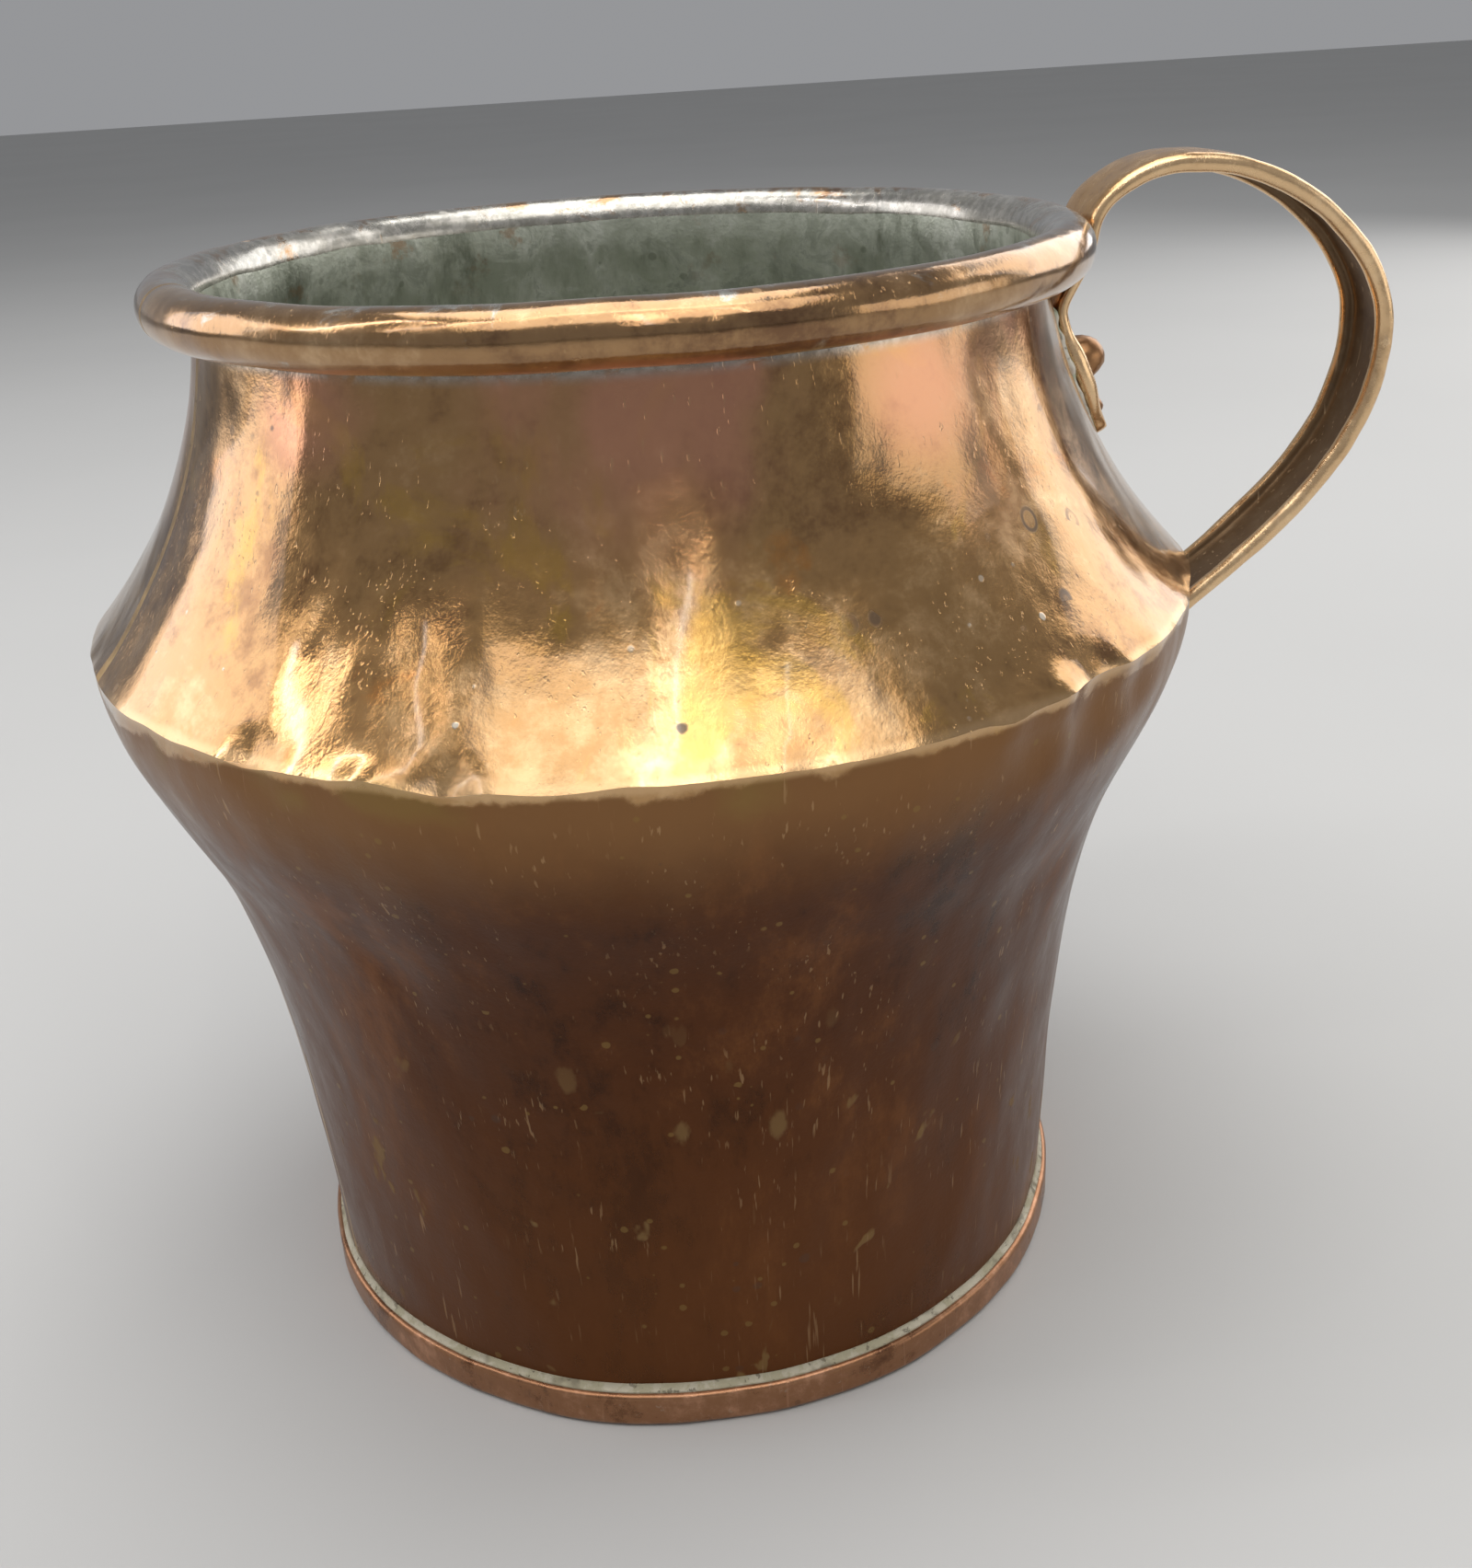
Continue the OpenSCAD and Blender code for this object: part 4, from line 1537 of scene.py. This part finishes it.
    def soil(self, b: Board, place: object, level: object, tone: object) -> tuple[bpy.types.NodeSocket, ...]:
        """Puts black specks, black rings and pale dust over a tone.

        Args:
            b: The board.
            place: The coordinates.
            level: The height with a ragged edge.
            tone: The tone so far.

        Returns:
            The new tone, and the masks of the black and of the dust.
        """
        upper_half = b.span(level, self.crease, self.crease + 6 * MM)
        black = Effect.use(b, Effect.specks(), Place=place, Scale=230.0, Share=0.16, Size=0.24)
        ink = b.times(black.outputs[0], b.span(b.noise(place, 30.0, 3.0, 0.5), 0.45, 0.62))
        rings = b.cells(b.scaled(place, (1, 1, 0.8), (0.4, 0.2, 0.1)), 190.0)
        ring = b.times(b.span(rings.outputs["Distance"], 0.2, 0.29),
                       b.span(rings.outputs["Distance"], 0.42, 0.33))
        chance = b.node("ShaderNodeSeparateColor", Color=rings.outputs["Color"]).outputs[0]
        picked = b.maths("LESS_THAN", chance, 0.42)
        cluster = b.most(self.spot(b, place, -48.7, 162, 93, (6, 15)),
                         self.spot(b, place, -72.6, 159.3, 94.5, (2, 8)))
        cluster = b.most(cluster, self.spot(b, place, -54, 171, 88, (4, 12)))
        ring = b.times(b.times(ring, picked), cluster)
        ink = b.times(b.most(ink, ring), b.most(upper_half, 0.35))
        tone = b.blend(b.times(ink, 0.8), tone, self.ink)
        pale = Effect.use(b, Effect.specks(), Place=place, Scale=300.0, Share=0.12, Size=0.2)
        below_rim = b.span(level, self.rim - 30 * MM, self.crease + 6 * MM)
        dust = b.times(pale.outputs[0], b.times(upper_half, below_rim))
        return b.blend(b.times(dust, 0.75), tone, self.chalk), ink, dust

    def lip(self, b: Board, place: object, radius: object, height: object,
            tone: object) -> tuple[bpy.types.NodeSocket, ...]:
        """Puts the rim's bead and the tin that is wiped over it on a tone.

        Args:
            b: The board.
            place: The coordinates.
            radius: The distance from the axis.
            height: The height.
            tone: The tone so far.

        Returns:
            The new tone and the mask of the tin.
        """
        dark, mid, light = self.bead
        bead = Effect.use(b, Effect.mottle(), Place=place, Dark=dark, Mid=mid, Light=light)
        on_bead = b.span(height, self.rim - 7 * MM, self.rim - 5.2 * MM)
        tone = b.blend(on_bead, tone, bead.outputs["Tone"])
        worn = b.noise(b.scaled(place, (1, 1, 1.5)), 85.0, 6.0, 0.68, 0.5)
        inward = b.plus(radius, b.times(b.less(worn, 0.5), 0.026))
        tinned = b.times(b.span(inward, self.mouth + 1.0 * MM, self.mouth - 2.5 * MM),
                         b.span(height, self.rim - 8 * MM, self.rim - 5 * MM))
        smear = b.times(self.spot(b, place, -14, 204, 88, (8, 20)), b.span(worn, 0.4, 0.52))
        tinned = b.most(tinned, b.times(smear, on_bead))
        crust = b.noise(place, 420.0, 4.0, 0.7)
        wiped = b.blend(b.span(crust, 0.4, 0.62), self.dull_tin, self.tin)
        return b.blend(b.times(tinned, 0.85), tone, wiped), tinned

    def build(self) -> bpy.types.Material:
        """Makes the wall's copper.

        Returns:
            The material.
        """
        b, shader, place = self.start()
        radius, height = b.parts(place)
        drift = b.times(b.less(b.noise(place, 60.0, 5.0, 0.6), 0.5), 0.012)
        level = b.plus(height, drift)

        tone, cloud = self.cone(b, place, level)
        deep, low_cloud, stains = self.foot(b, place, level)
        above = b.span(level, self.crease - 2.2 * MM, self.crease - 0.8 * MM)
        tone = self.ridge(b, place, height, level, b.blend(above, deep, tone))
        tone, ink, dust = self.soil(b, place, level, tone)
        tone, tinned = self.lip(b, place, radius, height, tone)
        marks = Effect.use(b, Effect.scratches(), Place=place, Amount=1.0).outputs[0]
        tone = b.blend(b.times(marks, 0.3), tone, self.upper[2])
        b.feed(shader.inputs["Base Color"], tone)

        rough = b.node("ShaderNodeMix", data_type="FLOAT")
        b.feed(rough.inputs[0], above)
        b.feed(rough.inputs[2], b.span(low_cloud, 0.4, 0.62, 0.27, 0.4))
        b.feed(rough.inputs[3], b.span(cloud, 0.4, 0.62, 0.12, 0.23))
        spread = b.plus(rough.outputs[0], b.times(b.most(stains, ink), 0.2))
        b.feed(shader.inputs["Roughness"], b.plus(spread, b.times(tinned, 0.12)))
        crud = b.most(b.most(ink, dust), b.times(stains, 0.6))
        metal = b.span(above, 0.0, 1.0, 0.86, 0.97)
        b.feed(shader.inputs["Metallic"], b.less(metal, b.times(crud, 0.5)))
        b.feed(shader.inputs["Coat Weight"], b.span(above, 0.0, 1.0, 0.04, 0.5))
        shader.inputs["Coat Roughness"].default_value = 0.07

        relief = Effect.use(b, Effect.planish(), Place=place, Marks=0.16, Swells=1.0, Grain=0.02).outputs[0]
        raised = b.plus(relief, b.times(b.plus(stains, dust), 0.03))
        self.bump(b, shader, b.less(raised, b.times(marks, 0.03)), 1.1 * MM)
        return bpy.data.materials[self.name]


@dataclass(frozen=True)
class AgedCopper(Finish):
    """Aged copper of the handle, base cap and rivets.

    Attributes:
        dark: Tone of the hollows.
        mid: Tone of most of it.
        light: Tone of its light patches and scratches, and of the painted highlight on the strap's rounded
            edges and hems.
        grime: How much dark grime lies on it.
        chalk: How much pale residue lies on it.
        gloss: Its lowest roughness.
        metal: How metallic it is.
        paints_shade_and_highlight: Whether the piece paints shade into its channel and a highlight on its
            rounded edges and hems.
    """

    dark: Colour
    mid: Colour
    light: Colour
    grime: float = 0.3
    chalk: float = 0.1
    gloss: float = 0.24
    metal: float = 0.9
    paints_shade_and_highlight: bool = False

    def build(self) -> bpy.types.Material:
        """Makes the copper.

        Returns:
            The material.
        """
        b, shader, place = self.start()
        cloud = Effect.use(b, Effect.mottle(), Place=b.scaled(place, (1.6, 1.6, 1.6)), Dark=self.dark,
                           Mid=self.mid, Light=self.light)
        tone = cloud.outputs["Tone"]
        spots = Effect.use(b, Effect.specks(), Place=place, Scale=380.0, Share=0.2, Size=0.26)
        smuts = b.span(b.noise(place, 210.0, 5.0, 0.65), 0.6, 0.72)
        dirt = b.times(b.most(spots.outputs[0], smuts), self.grime)
        tone = b.blend(dirt, tone, (0.04, 0.025, 0.015))
        pale = b.times(b.span(b.noise(place, 260.0, 5.0, 0.7), 0.62, 0.7), self.chalk)
        tone = b.blend(pale, tone, (0.62, 0.6, 0.5))
        if self.paints_shade_and_highlight:
            # Painted shade: the strap's channel is darkened to a near black brown.
            uneven = b.plus(b.node("ShaderNodeAttribute", attribute_name="hollow").outputs["Fac"],
                            b.times(b.less(cloud.outputs["Cloud"], 0.5), 1.2))
            dark = b.span(uneven, 0.25, 0.8)
            tone = b.blend(b.times(dark, 0.82), tone, (0.05, 0.028, 0.014))
            # Painted highlight: the strap's rounded edges and hems are lightened.
            edge = b.plus(b.node("ShaderNodeAttribute", attribute_name="rubbed").outputs["Fac"],
                          b.times(b.less(cloud.outputs["Cloud"], 0.5), 2.0))
            tone = b.blend(b.times(b.span(edge, 0.5, 1.0), 0.6), tone, self.light)
            # The mask of the channel's painted shade also makes it rougher and less metallic.
            dirt = b.most(dirt, b.times(dark, 0.5))
        marks = Effect.use(b, Effect.scratches(), Place=place, Amount=1.0).outputs[0]
        tone = b.blend(b.times(marks, 0.4), tone, self.light)
        b.feed(shader.inputs["Base Color"], tone)
        crud = b.most(dirt, pale)
        dull = b.span(cloud.outputs["Cloud"], 0.38, 0.62, self.gloss, self.gloss + 0.15)
        b.feed(shader.inputs["Roughness"], b.plus(dull, b.times(crud, 0.3)))
        b.feed(shader.inputs["Metallic"], b.less(self.metal, b.times(crud, 0.5)))
        relief = Effect.use(b, Effect.planish(), Place=place, Marks=0.1, Swells=0.35, Grain=0.03).outputs[0]
        relief = b.less(b.plus(relief, b.times(pale, 0.06)), b.times(marks, 0.03))
        self.bump(b, shader, relief, 0.9 * MM)
        return bpy.data.materials[self.name]


@dataclass(frozen=True)
class WipedTin(Finish):
    """Tin wiped over copper, gone grey-green and mottled.

    Attributes:
        dark: Tone of the blots.
        mid: Tone of most of it.
        light: Tone where it is clean.
        bare: Tone of the copper that shows through near the rim.
    """

    dark: Colour = (0.25, 0.27, 0.21)
    mid: Colour = (0.52, 0.545, 0.46)
    light: Colour = (0.76, 0.77, 0.7)
    bare: Colour = (0.35, 0.2, 0.1)

    def build(self) -> bpy.types.Material:
        """Makes the tin.

        Returns:
            The material.
        """
        b, shader, place = self.start()
        streaks = b.scaled(place, (1, 1, 0.35))
        cloud = Effect.use(b, Effect.mottle(), Place=streaks, Dark=self.dark, Mid=self.mid, Light=self.light)
        blots = b.noise(place, 95.0, 7.0, 0.72, 0.7)
        tone = b.blend(b.times(b.span(blots, 0.52, 0.62), 0.65), cloud.outputs["Tone"], self.dark)
        spots = Effect.use(b, Effect.specks(), Place=place, Scale=260.0, Share=0.3, Size=0.25)
        tone = b.blend(b.times(spots.outputs[0], 0.6), tone, self.dark)
        _, height = b.parts(place)
        near_rim = b.span(height, 185 * MM, 203 * MM)
        worn = b.times(b.span(b.noise(place, 70.0, 5.0, 0.65), 0.58, 0.66), near_rim)
        tone = b.blend(b.times(worn, 0.6), tone, self.bare)
        b.feed(shader.inputs["Base Color"], tone)
        b.feed(shader.inputs["Roughness"], b.span(blots, 0.35, 0.65, 0.36, 0.58))
        b.feed(shader.inputs["Metallic"], b.span(blots, 0.62, 0.45, 0.55, 0.85))
        relief = Effect.use(b, Effect.planish(), Place=place, Marks=0.14, Swells=0.6, Grain=0.05).outputs[0]
        self.bump(b, shader, b.plus(relief, b.times(blots, 0.05)), 1.0 * MM)
        return bpy.data.materials[self.name]


@dataclass(frozen=True)
class Solder(Finish):
    """Tin solder gone chalky, with verdigris in it.

    Attributes:
        clean: Tone of most of it.
        green: Tone of the verdigris.
        dirt: Tone of the pits.
        verdigris: How much verdigris there is.
    """

    clean: Colour = (0.66, 0.63, 0.54)
    green: Colour = (0.33, 0.44, 0.27)
    dirt: Colour = (0.1, 0.08, 0.05)
    verdigris: float = 0.5

    def build(self) -> bpy.types.Material:
        """Makes the solder.

        Returns:
            The material.
        """
        b, shader, place = self.start()
        cloud = b.noise(place, 170.0, 6.0, 0.7, 0.5)
        tone = b.blend(b.times(b.span(cloud, 0.46, 0.58), self.verdigris), self.clean, self.green)
        holes = b.span(b.noise(place, 620.0, 3.0, 0.6), 0.6, 0.68)
        gaps = b.span(b.noise(place, 120.0, 3.0, 0.6), 0.56, 0.66)
        grime = b.most(b.times(holes, 0.6), b.times(gaps, 0.55))
        b.feed(shader.inputs["Base Color"], b.blend(grime, tone, self.dirt))
        b.feed(shader.inputs["Roughness"], b.span(cloud, 0.3, 0.6, 0.5, 0.75))
        b.feed(shader.inputs["Metallic"], b.span(cloud, 0.6, 0.4, 0.05, 0.3))
        height = b.plus(b.times(cloud, 0.3), b.times(b.noise(place, 900.0, 4.0, 0.65), 0.15))
        self.bump(b, shader, b.less(height, b.times(holes, 0.2)), 0.8 * MM)
        return bpy.data.materials[self.name]


@dataclass(frozen=True)
class Pale(Finish):
    """The plain pale floor.

    Attributes:
        tone: Its tone.
    """

    tone: Colour = (0.5, 0.5, 0.49)

    def build(self) -> bpy.types.Material:
        """Makes the floor's paint.

        Returns:
            The material.
        """
        b, shader, place = self.start()
        shade = b.noise(place, 3.0, 3.0, 0.5)
        darker = tuple(c * 0.97 for c in self.tone)
        b.feed(shader.inputs["Base Color"], b.blend(b.span(shade, 0.3, 0.7), self.tone, darker))
        shader.inputs["Roughness"].default_value = 0.85
        return bpy.data.materials[self.name]


# ----------------------------------------------------------------------------------------------------
# The studio
# ----------------------------------------------------------------------------------------------------

@dataclass(frozen=True)
class Lamp:
    """One soft lamp that points at the mug.

    Attributes:
        name: Its name.
        azimuth: Direction from the mug in degrees, from the handle.
        rise: Height above the horizon in degrees.
        distance: Distance from the mug in metres.
        size: Width and height in metres.
        power: Power in watts.
        tint: Colour of its light.
    """

    name: str
    azimuth: float
    rise: float
    distance: float
    size: Point
    power: float
    tint: Colour = (1.0, 0.97, 0.92)

    def hang(self, target: Vector) -> None:
        """Hangs the lamp.

        Args:
            target: What it points at.
        """
        way, up = math.radians(self.azimuth), math.radians(self.rise)
        along = Vector((math.cos(way) * math.cos(up), math.sin(way) * math.cos(up), math.sin(up)))
        place = target + along * self.distance
        Bench.clear()
        bpy.ops.object.light_add(type="AREA", location=place)
        lamp = bpy.context.object
        lamp.name = self.name
        lamp.data.shape = "RECTANGLE"
        lamp.data.size, lamp.data.size_y = self.size
        lamp.data.energy = self.power
        lamp.data.color = self.tint
        lamp.rotation_euler = (target - place).to_track_quat("-Z", "Y").to_euler()


@dataclass(frozen=True)
class Studio:
    """Floor, lamps and camera.

    Attributes:
        eye: Where the camera stands.
        ahead: The way it looks.
        lean: How far it leans to one side, in radians.
        lens: Focal length on a 36 mm wide film.
        drop: How far the film is shifted down, as a share of its width.
        lamps: The lamps.
    """

    eye: Vector = Vector((-0.0231, -0.3300, 0.2456))
    ahead: Vector = Vector((0.1121, 0.9264, -0.3595))
    lean: float = -0.0609
    lens: float = 41.76
    drop: float = -0.0688
    lamps: Sequence[Lamp] = (
        Lamp("front_strip", -87, 50, 1.25, (0.018, 0.8), 0.8, (1.0, 0.98, 1.0)),
        Lamp("left_strip", -152, 50, 1.3, (0.02, 0.7), 0.6, (1.0, 0.98, 1.0)),
        Lamp("far_left_strip", -176, 46, 1.3, (0.04, 0.8), 1.8, (1.0, 0.98, 1.0)),
        Lamp("right_strip", -62, 56, 1.4, (0.02, 0.6), 0.45),
        Lamp("left_panel", 160, 20, 1.6, (0.9, 0.9), 5.5, (1.0, 0.98, 1.0)),
        Lamp("right_panel", 32, 24, 1.5, (1.3, 1.1), 9.5, (1.0, 0.98, 0.97)),
        Lamp("right_front_panel", -22, 10, 1.7, (1.1, 0.7), 3.0),
        Lamp("front_fill", -90, 64, 1.5, (1.8, 0.9), 10.0, (1.0, 0.98, 0.95)),
        Lamp("overhead", 90, 82, 1.7, (1.3, 1.3), 15.0, (1.0, 1.0, 1.0)),
    )

    def set_up(self) -> None:
        """Sets up the whole studio."""
        Bench.clear()
        bpy.ops.mesh.primitive_plane_add(size=1.0, location=(0, 0, 0))
        floor = bpy.context.object
        floor.name = floor.data.name = "floor"
        floor.scale = (14.0, 14.0, 1.0)
        bpy.ops.object.transform_apply(location=True, rotation=True, scale=True)
        Pale("pale_floor").wear(floor)
        low, high = CAD_BOX
        middle = Vector((0.0, 0.0, (low[2] + high[2]) / 2))
        for lamp in self.lamps:
            lamp.hang(middle)
        world = bpy.data.worlds.new("studio_air")
        world.use_nodes = True
        back = next(n for n in world.node_tree.nodes if n.type == "BACKGROUND")
        back.inputs["Color"].default_value = (0.80, 0.81, 0.84, 1.0)
        back.inputs["Strength"].default_value = 0.38
        bpy.context.scene.world = world
        bpy.context.scene.view_settings.view_transform = "Standard"
        self.stand_camera()

    def stand_camera(self) -> None:
        """Stands the camera in its place."""
        Bench.clear()
        bpy.ops.object.camera_add(location=self.eye)
        camera = bpy.context.object
        camera.name = "camera"
        ahead = self.ahead.normalized()
        side = ahead.cross(Vector((0, 0, 1))).normalized()
        up = side.cross(ahead)
        right = side * math.cos(self.lean) + up * math.sin(self.lean)
        top = up * math.cos(self.lean) - side * math.sin(self.lean)
        turned = Matrix((right, top, -ahead)).transposed().to_4x4()
        camera.matrix_world = Matrix.Translation(self.eye) @ turned
        camera.data.sensor_fit = "HORIZONTAL"
        camera.data.sensor_width = 36.0
        camera.data.lens = self.lens
        camera.data.shift_y = self.drop
        camera.data.clip_start = 0.01
        bpy.context.scene.camera = camera


# ----------------------------------------------------------------------------------------------------
# The mug
# ----------------------------------------------------------------------------------------------------

class Mug:
    """The whole mug, built piece by piece and dressed."""

    def __init__(self) -> None:
        """Takes the sizes of the sub-assemblies."""
        self.vessel = Vessel(blows=knocks())
        self.strap = Strap(self.vessel)
        upper, lower = self.strap.upper_tip, self.strap.lower_tip
        large, small = self.strap.large_from_tip, self.strap.small_from_tip
        large_sizes = {"head": 4.7 * MM, "rise": 7.2 * MM, "shank": 2.4 * MM}
        small_sizes = {"head": 2.2 * MM, "rise": 1.6 * MM, "shank": 1.5 * MM}
        self.rivets = [
            Rivet("upper_large_rivet", upper + large, 2.9 * MM, **large_sizes),
            Rivet("upper_small_rivet", upper + small, 3.8 * MM, **small_sizes),
            Rivet("lower_large_rivet", lower + large, 3.9 * MM, **large_sizes),
            Rivet("lower_small_rivet", lower + small, 3.9 * MM, **small_sizes),
        ]

    def build(self) -> None:
        """Builds and dresses every piece."""
        self.build_vessel()
        self.build_handle()

    def build_vessel(self) -> None:
        """Builds the turned and hammered pieces."""
        v = self.vessel
        made = v.build()
        dressed = (
            ("copper_wall", "copper_wall", "body",
             WallCopper("raised_copper", v.rim_height, v.crease_height, v.rim_radius)),
            ("wiped_tin", "tin", "tin_lining", WipedTin("wiped_tin")),
            ("base_cup", "copper_base", "base_cap",
             AgedCopper("base_copper", (0.16, 0.07, 0.035), (0.33, 0.165, 0.085), (0.55, 0.3, 0.18), 0.3,
                        0.2)),
            ("base_seam_bead", "solder", "base_seam_solder",
             Solder("seam_solder", clean=(0.47, 0.43, 0.33), green=(0.3, 0.27, 0.16), verdigris=0.6)),
            ("braze_run", "braze", "seam_braze",
             AgedCopper("brass_spelter", (0.26, 0.14, 0.05), (0.4, 0.25, 0.1), (0.52, 0.36, 0.17), 0.25,
                        0.1)),
            ("iron_wire", "iron_wire", "rim_wire",
             AgedCopper("black_iron", (0.02, 0.018, 0.016), (0.05, 0.045, 0.04), (0.09, 0.08, 0.07), 0.5, 0.0,
                        0.5, 0.6)),
        )
        for name, slot, node, finish in dressed:
            finish.wear(made[name])
            Bench.settle(made[name], slot, node)

    def build_handle(self) -> None:
        """Builds the strap, its rivets and its solder."""
        strap = self.strap.build()
        AgedCopper("strap_copper", (0.36, 0.18, 0.07), (0.64, 0.39, 0.18), (0.86, 0.62, 0.37), 0.35, 0.25,
                   0.16, paints_shade_and_highlight=True).wear(strap)
        Bench.settle(strap, "copper_handle", "handle")
        for rivet in self.rivets:
            piece = rivet.build(self.vessel)
            AgedCopper(f"{rivet.node}_copper", (0.14, 0.065, 0.03), (0.33, 0.17, 0.075), (0.5, 0.28, 0.14),
                       0.35, 0.5).wear(piece)
            piece.name = piece.data.name = rivet.node + "_head"
            Bench.settle(piece, "copper_rivet", rivet.node)
        rim, crease = self.vessel.rim_height, self.vessel.crease_height
        for crust in (LeafSolder("upper_leaf_solder", self.strap.upper_tip + 2 * MM, rim - 7.5 * MM, 3),
                      LeafSolder("lower_leaf_solder", self.strap.lower_tip + 2 * MM, crease - 30 * MM, 5)):
            piece = crust.build(self.vessel, self.strap)
            Solder(f"{crust.node}_crust", verdigris=0.6).wear(piece)
            Bench.settle(piece, "solder", crust.node)


def main() -> None:
    """Builds the mug and its studio."""
    logging.basicConfig(level=logging.INFO, format="%(name)s: %(message)s")
    Studio().set_up()
    Mug().build()


if __name__ == "__main__":
    main()
